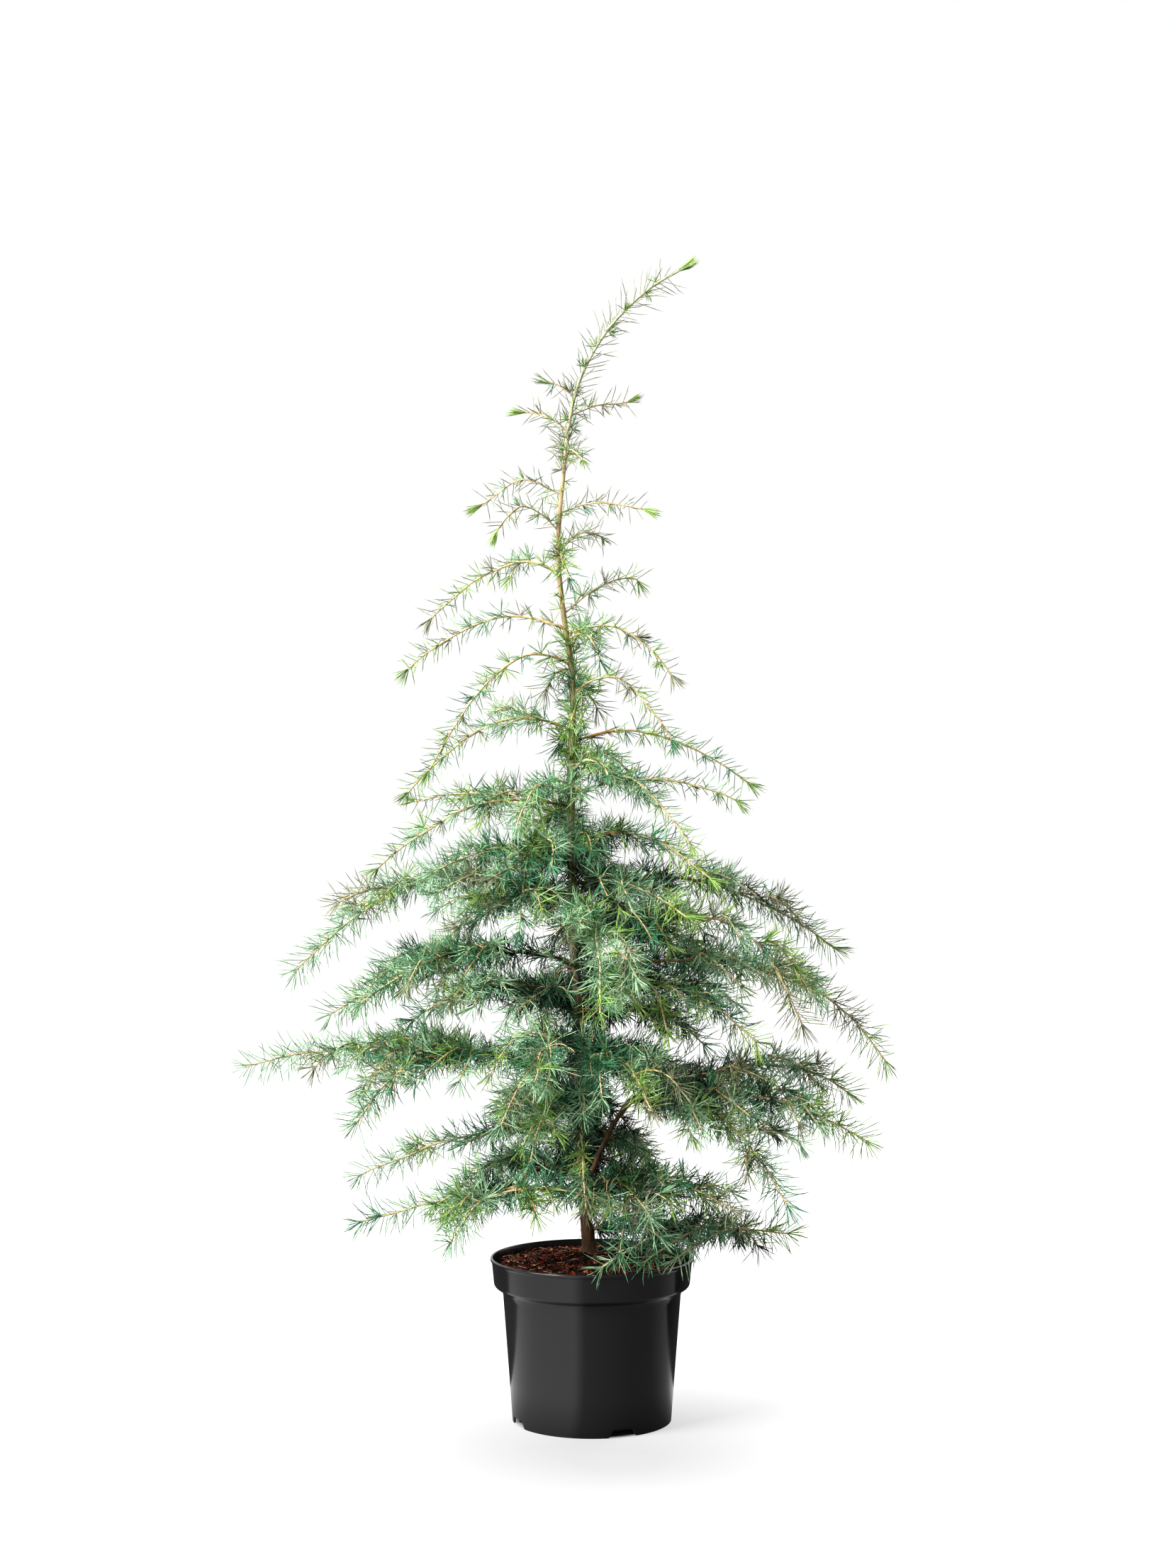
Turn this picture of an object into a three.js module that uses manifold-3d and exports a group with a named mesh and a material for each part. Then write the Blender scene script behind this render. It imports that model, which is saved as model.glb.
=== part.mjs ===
// A young deodar cedar in a black nursery pot.
//
// Millimetres, +Z up. The origin is the centre of the pot's flat underside, and
// +X is the side the leader nods to. The pot holds the soil, the soil carries the
// trunk, and the trunk carries the boughs and the masses of foliage, each a solid
// of its own that stands a hair clear of what carries it.

import * as THREE from 'three';
import { mergeVertices } from 'three/addons/utils/BufferGeometryUtils.js';
import Module from 'manifold-3d';

const wasm = await Module();
wasm.setup();

// ---------------------------------------------------------------- driving sizes

const GAP = 0.3; // clearance between pieces that meet
const ROUND = 36; // sides of the pot and the soil

// A 7.5 litre container: a tapered body, a wider collar and a thin rolled lip.
const POT = {
  height: 208,
  wall: 1.6,
  footRadius: 101.5,
  bodyTopRadius: 114,
  bodyTop: 163,
  collarFootRadius: 125,
  collarFoot: 174,
  collarTopRadius: 128.4,
  lipRadius: 130,
  lipHeight: 4,
};

// Drain notches through the foot of the wall, each narrower at its roof.
const NOTCH = { count: 4, first: 22.5, roofWidth: 27, footWidth: 36, height: 9.5, depth: 14 };

// Compost, filled to just below the lip and mounded up to the trunk.
const SOIL = { edgeHeight: 197.5, crownHeight: 209.7, crownRadius: 24 };

// The trunk's line as [X, Y, Z]: nearly upright, a bend at two thirds of its
// height, and a nodding leader.
const TRUNK_LINE = [
  [-2.6, 8, SOIL.crownHeight + GAP],
  [-9, 6, 273],
  [-15, 4, 410],
  [-18, 6, 520],
  [-25, 5, 650],
  [-26, 2, 820],
  [-25, 0, 950],
  [-37, -2, 1035],
  [-43, -3, 1110],
  [-37, -1, 1200],
  [-20, 0, 1315],
  [18, 2, 1390],
  [72, 4, 1445],
  [112, 5, 1470],
];
const TRUNK = { sides: 10, step: 46, footRadius: 8.2, tipRadius: 1.3, taper: 1.4 };
const FLARE = { radius: 4.5, height: 9 }; // root flare added to the foot

// Limbs: radii at the foot of the longest one and at every tip, and how sharply a
// limb falls away from its crest.
const LIMB = { footRadius: 4.2, tipRadius: 1.1, sides: 6, step: 26, longest: 450, fall: 1.7 };

// Foliage: three-sided twigs whose side faces are drawn out into needles. Each
// needle stands for a tuft of real ones. Twist is the turn from ring to ring.
const TWIG = { step: 24, radius: 1.5, tipRadius: 0.8, bow: 0.1, twist: 0.35 };
const SIDE = { radius: 1.1, spacing: 33, reachShare: 0.34, longest: 105, shortest: 30,
  spread: 52, bow: 0.12, rise: 0.1, crest: 0.35 };
const NEEDLE = { length: 31, lean: 38, share: 0.5, end: 0.7 };

// Room kept round the middle line of a twig, of a bare bough and of a needle.
const ROOM = { newTwig: 2, twig: 1.2, bough: 5, needle: 1.8, aboveSoil: 3, beyondLip: 5 };

// The sleeve of foliage round the nodding leader.
const SLEEVE = { from: 1207, sides: 6, wall: 0.55, room: 4.5, endGap: 1.5 };

// Every limb: its name, the height at which it leaves the trunk, its azimuth
// (0 = +X, 90 = +Y), its reach, its rise to the crest, the height of its tip over
// its root, and the crest's share of the reach. "fall" is the power of its fall where
// it hooks down late. "bare" is the share that is a bare bough. A fork leaves its
// limb at a share of its length for a tip of its own, with azimuth, reach and drop
// counted from the root of the limb.
const LIMBS = [
  { name: '01_right', at: 242, azimuth: 345, reach: 262, rise: 6, drop: 6, crest: 0.35 },
  { name: '02_left', at: 283, azimuth: 187, reach: 285, rise: 12, drop: -26, crest: 0.25,
    forks: [
      { from: 0.3, azimuth: 214, reach: 220, rise: 12, drop: 10, crest: 0.5 },
      { from: 0.34, azimuth: 232, reach: 262, rise: 4, drop: -22, crest: 0.4 }] },
  { name: '03_front_right', at: 300, azimuth: 292, reach: 215, rise: 14, drop: -10, crest: 0.4,
    forks: [{ from: 0.12, azimuth: 322, reach: 232, rise: 12, drop: -10, crest: 0.4 }] },
  { name: '04_back_left', at: 302, azimuth: 122, reach: 300, rise: 12, drop: -25, crest: 0.35 },
  { name: '05_back', at: 330, azimuth: 74, reach: 318, rise: 12, drop: -42, crest: 0.35 },
  { name: '06_left', at: 358, azimuth: 158, reach: 318, rise: 8, drop: -66, crest: 0.2 },
  { name: '07_side_limb', at: 287, azimuth: 352, reach: 58, rise: 137, drop: 118, crest: 1.6,
    bare: 1, crown: { azimuth: 340, reach: 372, rise: 16, drop: 84, crest: 0.5, forks: [
      { from: 0.05, azimuth: 0, reach: 338, rise: 44, drop: 130, crest: 0.7 },
      { from: 0.06, azimuth: 317, reach: 332, rise: 4, drop: 22, crest: 0.3 }] } },
  { name: '08_front', at: 396, azimuth: 272, reach: 200, rise: 12, drop: -95, crest: 0.35,
    forks: [{ from: 0.14, azimuth: 252, reach: 195, rise: 18, drop: -42, crest: 0.5 }] },
  { name: '09_back', at: 388, azimuth: 106, reach: 330, rise: 14, drop: -45, crest: 0.4 },
  { name: '10_left', at: 438, azimuth: 182, reach: 425, rise: 38, drop: 14, crest: 0.6,
    bare: 0.28, forks: [
      { from: 0.3, azimuth: 203, reach: 300, rise: 2, drop: -46, crest: 0.4 },
      { from: 0.32, azimuth: 170, reach: 255, rise: 18, drop: 42, crest: 0.6 }] },
  { name: '11_back_right', at: 432, azimuth: 52, reach: 300, rise: 18, drop: -64, crest: 0.35 },
  { name: '12_front', at: 462, azimuth: 290, reach: 256, rise: 12, drop: -40, crest: 0.3,
    forks: [{ from: 0.1, azimuth: 245, reach: 222, rise: 26, drop: -62, crest: 0.4 }] },
  { name: '13_back_right', at: 505, azimuth: 34, reach: 200, rise: 14, drop: -38, crest: 0.45 },
  { name: '14_back', at: 522, azimuth: 99, reach: 322, rise: 22, drop: -80, crest: 0.35 },
  { name: '15_left', at: 536, azimuth: 206, reach: 228, rise: 22, drop: -18, crest: 0.5 },
  { name: '16_right', at: 560, azimuth: 350, reach: 394, rise: 24, drop: -95, crest: 0.3,
    fall: 3.4, bare: 0.2 },
  { name: '17_front_right', at: 546, azimuth: 324, reach: 272, rise: 18, drop: -50, crest: 0.36, fall: 2.4,
    forks: [{ from: 0.16, azimuth: 303, reach: 205, rise: 14, drop: -36, crest: 0.6 }] },
  { name: '18_left', at: 582, azimuth: 176, reach: 318, rise: 16, drop: -68, crest: 0.31,
    bare: 0.2, forks: [
      { from: 0.22, azimuth: 197, reach: 280, rise: 2, drop: -44, crest: 0.3 }] },
  { name: '19_back_right', at: 606, azimuth: 50, reach: 290, rise: 22, drop: -70, crest: 0.35 },
  { name: '20_front', at: 636, azimuth: 277, reach: 274, rise: 18, drop: -94, crest: 0.34,
    bare: 0.2 },
  { name: '21_right', at: 632, azimuth: 335, reach: 312, rise: 14, drop: -117, crest: 0.5, fall: 3 },
  { name: '22_back_left', at: 652, azimuth: 127, reach: 300, rise: 16, drop: -60, crest: 0.35 },
  { name: '23_left', at: 668, azimuth: 184, reach: 353, rise: 26, drop: -95, crest: 0.45,
    bare: 0.2 },
  { name: '24_right', at: 672, azimuth: 12, reach: 351, rise: 20, drop: -75, crest: 0.38,
    bare: 0.2 },
  { name: '25_front_right', at: 684, azimuth: 311, reach: 214, rise: 8, drop: -34, crest: 0.35 },
  { name: '26_back', at: 704, azimuth: 76, reach: 240, rise: 20, drop: -55, crest: 0.4 },
  { name: '27_front_left', at: 712, azimuth: 204, reach: 190, rise: 18, drop: -12, crest: 0.5,
    forks: [{ from: 0.16, azimuth: 240, reach: 130, rise: 14, drop: -84, crest: 0.4 }] },
  { name: '28_right', at: 735, azimuth: 331, reach: 200, rise: 17, drop: -42, crest: 0.4 },
  { name: '29_back', at: 758, azimuth: 106, reach: 210, rise: 18, drop: -45, crest: 0.4 },
  { name: '30_left', at: 782, azimuth: 190, reach: 249, rise: 10, drop: -77, crest: 0.35,
    forks: [{ from: 0.12, azimuth: 163, reach: 214, rise: 14, drop: 8, crest: 0.5 }] },
  { name: '31_front', at: 794, azimuth: 250, reach: 190, rise: 16, drop: -34, crest: 0.6 },
  { name: '32_right', at: 798, azimuth: 349, reach: 214, rise: 22, drop: -8, crest: 0.5,
    forks: [{ from: 0.16, azimuth: 323, reach: 184, rise: 10, drop: -60, crest: 0.3 }] },
  { name: '33_front', at: 830, azimuth: 287, reach: 155, rise: 12, drop: -7, crest: 0.4 },
  { name: '34_back_right', at: 838, azimuth: 60, reach: 190, rise: 18, drop: -40, crest: 0.4 },
  { name: '35_right', at: 865, azimuth: 8, reach: 230, rise: 16, drop: -52, crest: 0.33 },
  { name: '36_left', at: 880, azimuth: 178, reach: 212, rise: 18, drop: -80, crest: 0.33,
    forks: [{ from: 0.14, azimuth: 125, reach: 180, rise: 20, drop: 30, crest: 0.8 }] },
  { name: '37_right', at: 926, azimuth: 335, reach: 138, rise: 22, drop: -60, crest: 0.38 },
  { name: '38_back', at: 932, azimuth: 86, reach: 160, rise: 18, drop: -35, crest: 0.4 },
  { name: '39_left', at: 962, azimuth: 203, reach: 194, rise: 15, drop: -134, crest: 0.26 },
  { name: '40_back', at: 984, azimuth: 76, reach: 130, rise: 36, drop: 30, crest: 0.85 },
  { name: '41_right', at: 1004, azimuth: 350, reach: 136, rise: 11, drop: -55, crest: 0.36 },
  { name: '42_left', at: 1010, azimuth: 186, reach: 202, rise: 16, drop: -53, crest: 0.35 },
  { name: '43_back_right', at: 1030, azimuth: 38, reach: 124, rise: 50, drop: 46, crest: 0.95 },
  { name: '44_left', at: 1080, azimuth: 171, reach: 168, rise: 18, drop: -56, crest: 0.3,
    forks: [{ from: 0.2, azimuth: 128, reach: 105, rise: 8, drop: 4, crest: 0.5 }] },
  { name: '45_front', at: 1090, azimuth: 277, reach: 116, rise: 12, drop: -25, crest: 0.4 },
  { name: '46_back_right', at: 1110, azimuth: 62, reach: 122, rise: 30, drop: 26, crest: 0.8 },
  { name: '47_left', at: 1134, azimuth: 214, reach: 92, rise: 28, drop: -3, crest: 0.6 },
  { name: '48_right', at: 1158, azimuth: 350, reach: 108, rise: 12, drop: 3, crest: 0.45 },
  { name: '49_left', at: 1182, azimuth: 184, reach: 102, rise: 16, drop: -14, crest: 0.5 },
];

// Short twigs that stand straight on the leader's sleeve.
const LEADER_TWIGS = [
  { at: 1228, azimuth: 286, reach: 82, rise: 8, drop: -12, crest: 0.4 },
  { at: 1240, azimuth: 95, reach: 80, rise: 14, drop: 2, crest: 0.5 },
  { at: 1257, azimuth: 166, reach: 56, rise: 32, drop: 32, crest: 0.9 },
  { at: 1282, azimuth: 18, reach: 78, rise: 20, drop: 22, crest: 0.7 },
  { at: 1308, azimuth: 190, reach: 34, rise: 16, drop: 16, crest: 0.9 },
];

// ------------------------------------------------------------------- materials

const finish = (color, roughness) => new THREE.MeshStandardMaterial({ color, roughness, metalness: 0 });
const MATERIALS = {
  pot: finish('#17181a', 0.32),
  soil: finish('#3b2a20', 1),
  bark: finish('#6d6350', 0.9),
  foliage: finish('#5f8f76', 0.6),
};

// ------------------------------------------------------------------- small tools

const UP = new THREE.Vector3(0, 0, 1);
const rad = THREE.MathUtils.degToRad;
const compass = (azimuth) => new THREE.Vector3(Math.cos(rad(azimuth)), Math.sin(rad(azimuth)), 0);

// A repeatable number from 0 to 1 for twig k of limb number "limb".
function chance(limb, k, salt) {
  const wave = Math.sin(limb * 12.9898 + k * 78.233 + salt * 37.719) * 43758.5453;
  return wave - Math.floor(wave);
}

function solidOf(geometry) {
  geometry.deleteAttribute('normal');
  geometry.deleteAttribute('uv');
  const merged = mergeVertices(geometry, 1e-4);
  return new wasm.Manifold(new wasm.Mesh({
    numProp: 3,
    vertProperties: new Float32Array(merged.attributes.position.array),
    triVerts: new Uint32Array(merged.index.array),
  }));
}

function geometryOf(solid) {
  const { vertProperties, triVerts } = solid.getMesh();
  const geometry = new THREE.BufferGeometry();
  geometry.setAttribute('position', new THREE.BufferAttribute(vertProperties, 3));
  geometry.setIndex(new THREE.BufferAttribute(triVerts, 1));
  geometry.computeVertexNormals();
  return geometry;
}

function nodeOf(name, geometry, material) {
  const mesh = new THREE.Mesh(geometry, material);
  mesh.name = name;
  return mesh;
}

// A closed skin grown ring by ring. Any face can later be drawn out into a needle
// or taken as the root of a twig, and the skin stays closed.
class Skin {
  constructor() {
    this.points = [];
    this.faces = [];
  }

  // A ring of points that runs anticlockwise as seen from ahead of "along". Its
  // first point lies level with the centre, or towards +Y on an upright trunk.
  ring(center, along, radius, sides, phase, upright = false) {
    const side = upright
      ? new THREE.Vector3(0, 1, 0).addScaledVector(along, -along.y).normalize()
      : new THREE.Vector3().crossVectors(UP, along).normalize();
    const lift = new THREE.Vector3().crossVectors(along, side);
    return Array.from({ length: sides }, (_, i) => {
      const angle = phase + (2 * Math.PI * i) / sides;
      const point = center.clone()
        .addScaledVector(side, radius * Math.cos(angle))
        .addScaledVector(lift, radius * Math.sin(angle));
      return this.points.push(point) - 1;
    });
  }

  face(a, b, c) {
    const face = [a, b, c];
    this.faces.push(face);
    return face;
  }

  // The faces between two rings of equal count.
  bridge(back, front) {
    return back.flatMap((a, i) => {
      const next = (i + 1) % back.length;
      return [this.face(a, back[next], front[next]), this.face(a, front[next], front[i])];
    });
  }

  fan(ring) {
    for (let i = 1; i + 1 < ring.length; i += 1) this.face(ring[0], ring[i], ring[i + 1]);
  }

  remove(face) {
    this.faces.splice(this.faces.indexOf(face), 1);
  }

  // Three faces from an open edge loop of three points to a tip.
  point(loop, tip) {
    const apex = this.points.push(tip) - 1;
    loop.forEach((a, i) => this.face(a, loop[(i + 1) % loop.length], apex));
  }

  corners(face) {
    return face.map((i) => this.points[i]);
  }

  center(face) {
    return this.corners(face).reduce((sum, p) => sum.add(p), new THREE.Vector3()).divideScalar(3);
  }

  normal(face) {
    const [a, b, c] = this.corners(face);
    return new THREE.Triangle(a, b, c).getNormal(new THREE.Vector3());
  }

  geometry() {
    const geometry = new THREE.BufferGeometry();
    geometry.setAttribute('position',
      new THREE.Float32BufferAttribute(this.points.flatMap((p) => p.toArray()), 3));
    geometry.setIndex(this.faces.flat());
    geometry.computeVertexNormals();
    return geometry;
  }
}

// ------------------------------------------------------------------ pot and soil

// The corners of the inner wall as [radius, height], from the lip down to the floor.
const POT_INSIDE = [
  [POT.collarTopRadius - POT.wall, POT.height],
  [POT.collarFootRadius - POT.wall, POT.collarFoot + POT.wall / 2],
  [POT.bodyTopRadius - POT.wall, POT.bodyTop + POT.wall / 2],
  [POT.footRadius - POT.wall, POT.wall],
];

// The pot's section from the axis along the outside and back down the inside.
function potSection() {
  const outside = [
    [POT.footRadius, 0],
    [POT.bodyTopRadius, POT.bodyTop],
    [POT.collarFootRadius, POT.collarFoot],
    [POT.collarTopRadius, POT.height - POT.lipHeight - 1],
    [POT.lipRadius, POT.height - POT.lipHeight],
    [POT.lipRadius, POT.height - 1],
    [POT.lipRadius - 1, POT.height],
  ];
  return [[0, 0], ...outside, ...POT_INSIDE, [0, POT.wall]];
}

// A closed solid of revolution about +Z from a section of [radius, height].
function turned(section) {
  const lathe = new THREE.LatheGeometry(section.map(([r, z]) => new THREE.Vector2(r, z)), ROUND);
  return lathe.rotateX(Math.PI / 2);
}

// One notch: a tapered slot that runs in from outside the foot of the wall.
function notchCutter(azimuth) {
  const outline = new THREE.Shape();
  outline.moveTo(-NOTCH.footWidth / 2, -1);
  outline.lineTo(NOTCH.footWidth / 2, -1);
  outline.lineTo(NOTCH.roofWidth / 2, NOTCH.height);
  outline.lineTo(-NOTCH.roofWidth / 2, NOTCH.height);
  const slot = new THREE.ExtrudeGeometry(outline, { depth: NOTCH.depth * 2, bevelEnabled: false });
  slot.rotateX(Math.PI / 2).rotateZ(Math.PI / 2);
  slot.translate(POT.footRadius - NOTCH.depth, 0, 0).rotateZ(rad(azimuth));
  return solidOf(slot);
}

function potGeometry() {
  let pot = solidOf(turned(potSection()));
  for (let i = 0; i < NOTCH.count; i += 1) {
    pot = pot.subtract(notchCutter(NOTCH.first + (360 * i) / NOTCH.count));
  }
  return geometryOf(pot);
}

// Radius of the inner wall at a height.
function insideRadius(z) {
  const upper = POT_INSIDE.findIndex(([, height]) => height <= z) - 1;
  const [[r1, z1], [r0, z0]] = POT_INSIDE.slice(upper, upper + 2);
  return r0 + ((r1 - r0) * (z - z0)) / (z1 - z0);
}

// Soil: a gap inside the wall, chamfered over the drain notches, and flat where the
// trunk stands.
function soilGeometry() {
  const floor = POT.wall + GAP;
  const notchRoof = NOTCH.height + 1;
  const corner = ([radius, height]) => [radius - 2 * GAP, height + GAP];
  return turned([
    [0, floor],
    [POT.footRadius - NOTCH.depth - 3, floor],
    [insideRadius(notchRoof) - GAP, notchRoof],
    corner(POT_INSIDE[2]),
    corner(POT_INSIDE[1]),
    [insideRadius(SOIL.edgeHeight) - GAP, SOIL.edgeHeight],
    [70, SOIL.edgeHeight + 5],
    [SOIL.crownRadius, SOIL.crownHeight],
    [0, SOIL.crownHeight],
  ]);
}

// ------------------------------------------------------------------------- trunk

const trunkLine = new THREE.CatmullRomCurve3(TRUNK_LINE.map((p) => new THREE.Vector3(...p)));
const trunkLength = trunkLine.getLength();

// Radius at a share of the trunk's length: a taper, and a flare at the foot.
function trunkRadius(share) {
  const taper = TRUNK.tipRadius + (TRUNK.footRadius - TRUNK.tipRadius) * (1 - share) ** TRUNK.taper;
  return taper + FLARE.radius * Math.exp((-share * trunkLength) / FLARE.height);
}

// The share of the trunk's length that stands at a height.
function trunkShare(height) {
  let low = 0;
  let high = 1;
  for (let i = 0; i < 40; i += 1) {
    const middle = (low + high) / 2;
    if (trunkLine.getPointAt(middle).z < height) low = middle;
    else high = middle;
  }
  return low;
}

// Ring shares: close at the flare, then even, and one at the sleeve's edge.
const sleeveShare = trunkShare(SLEEVE.from);
const upTo = Math.round((trunkLength * sleeveShare) / TRUNK.step);
const beyond = Math.round((trunkLength * (1 - sleeveShare)) / TWIG.step);
const lowerShares = Array.from({ length: upTo }, (_, i) => (sleeveShare * i) / upTo);
const upperShares = Array.from({ length: beyond + 1 },
  (_, i) => 1 - ((1 - sleeveShare) * (beyond - i)) / beyond);
const flareShares = [0.35, 1, 2].map((k) => (k * FLARE.height) / trunkLength);

function trunkGeometry(grow = 0) {
  const skin = new Skin();
  const shares = [...lowerShares, ...flareShares, ...upperShares].sort((a, b) => a - b);
  const rings = shares.map((share) => skin.ring(trunkLine.getPointAt(share),
    share === 0 ? UP : trunkLine.getTangentAt(share), trunkRadius(share) + grow,
    TRUNK.sides, 0, true));
  rings.slice(1).forEach((ring, i) => skin.bridge(rings[i], ring));
  skin.fan([...rings[0]].reverse());
  skin.fan(rings.at(-1));
  return skin.geometry();
}

// ------------------------------------------------------------- limbs as curves

// Height over the root at share t: a parabola up to the crest, then a fall that
// steepens towards the tip.
function archHeight({ rise, drop, crest, fall = LIMB.fall }, t) {
  if (t <= crest) return rise * (1 - (1 - t / crest) ** 2);
  return rise - (rise - drop) * ((t - crest) / (1 - crest)) ** fall;
}

// The arch from a root to a tip, bowed sideways by a share of its reach.
class Arch extends THREE.Curve {
  constructor(root, tip, shape, bow) {
    super();
    const plan = tip.clone().sub(root).setZ(0);
    const across = new THREE.Vector3(-plan.y, plan.x, 0).multiplyScalar(bow);
    const form = { ...shape, drop: tip.z - root.z };
    this.place = (t) => root.clone().addScaledVector(plan, t)
      .addScaledVector(across, Math.sin(Math.PI * t)).setZ(root.z + archHeight(form, t));
  }

  getPoint(t) {
    return this.place(t);
  }
}

function tipOf(root, { azimuth, reach, drop }) {
  return root.clone().addScaledVector(compass(azimuth), reach).setZ(root.z + drop);
}

function limbCurve(limb, number) {
  const root = trunkLine.getPointAt(trunkShare(limb.at));
  const bow = limb.bare === 1 ? 0 : TWIG.bow * (chance(number, 0, 1) - 0.5);
  return new Arch(root, tipOf(root, limb), limb, bow);
}

// A bough's radius grows with the reach of its limb and tapers along it.
function limbRadius(reach, share) {
  const foot = LIMB.footRadius * Math.sqrt(reach / LIMB.longest);
  return foot + (LIMB.tipRadius - foot) * share ** 0.7;
}

// -------------------------------------------------- what stands where: clearances

// Straight pieces of limbs, twigs and needles, filed by the cell of their middle.
const CELL = 42;
const placed = new Map();
const cellOf = (p) => [p.x, p.y, p.z].map((v) => Math.floor(v / CELL));

function file(piece) {
  const key = cellOf(piece.a.clone().add(piece.b).multiplyScalar(0.5)).join();
  if (!placed.has(key)) placed.set(key, []);
  placed.get(key).push(piece);
}

// The least distance between two straight pieces.
function distance(p, q) {
  const u = p.b.clone().sub(p.a);
  const v = q.b.clone().sub(q.a);
  const w = p.a.clone().sub(q.a);
  const [a, b, c, d, e] = [u.dot(u), u.dot(v), v.dot(v), u.dot(w), v.dot(w)];
  const clamp = (x) => THREE.MathUtils.clamp(x, 0, 1);
  const span = a * c - b * b;
  let s = span > 1e-9 ? clamp((b * e - c * d) / span) : 0;
  const t = clamp((b * s + e) / c);
  s = clamp((b * t - d) / a);
  return w.addScaledVector(u, s).addScaledVector(v, -t).length();
}

// Whether a piece stays clear of all that stands, its own twig and parent apart.
function isClear(piece, own) {
  const [x, y, z] = cellOf(piece.a.clone().add(piece.b).multiplyScalar(0.5));
  for (let i = x - 1; i <= x + 1; i += 1) {
    for (let j = y - 1; j <= y + 1; j += 1) {
      for (let k = z - 1; k <= z + 1; k += 1) {
        for (const other of placed.get([i, j, k].join()) ?? []) {
          if (own.includes(other.twig)) continue;
          if (distance(piece, other) < piece.radius + other.radius) return false;
        }
      }
    }
  }
  return true;
}

// Clear of the pot and of the soil's mound.
function isOverPot({ a, b }) {
  return [0, 0.5, 1].every((t) => {
    const p = a.clone().lerp(b, t);
    const radius = Math.hypot(p.x, p.y);
    return p.z > SOIL.crownHeight + ROOM.aboveSoil || radius > POT.lipRadius + ROOM.beyondLip;
  });
}

function fileCurve(points, radii, twig) {
  points.slice(1).forEach((b, i) => file({ a: points[i], b, radius: radii[i], twig }));
}

// ------------------------------------------------------------------------ boughs

const trunkRoom = solidOf(trunkGeometry(GAP * 1.1));

// A bare limb from the trunk's face to where its foliage starts.
function boughGeometry(curve, limb) {
  const skin = new Skin();
  const reach = Math.max(limb.reach, limb.crown?.reach ?? 0);
  const length = curve.getLength() * limb.bare;
  const count = Math.max(3, Math.round(length / LIMB.step));
  const rings = Array.from({ length: count + 1 }, (_, i) => {
    const share = (limb.bare * i) / count;
    return skin.ring(curve.getPointAt(share), curve.getTangentAt(share),
      limbRadius(reach, share * 0.8), LIMB.sides, 0);
  });
  rings.slice(1).forEach((ring, i) => skin.bridge(rings[i], ring));
  skin.fan([...rings[0]].reverse());
  skin.fan(rings.at(-1));
  return geometryOf(solidOf(skin.geometry()).subtract(trunkRoom));
}

// ------------------------------------------------------------- masses of foliage

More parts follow.
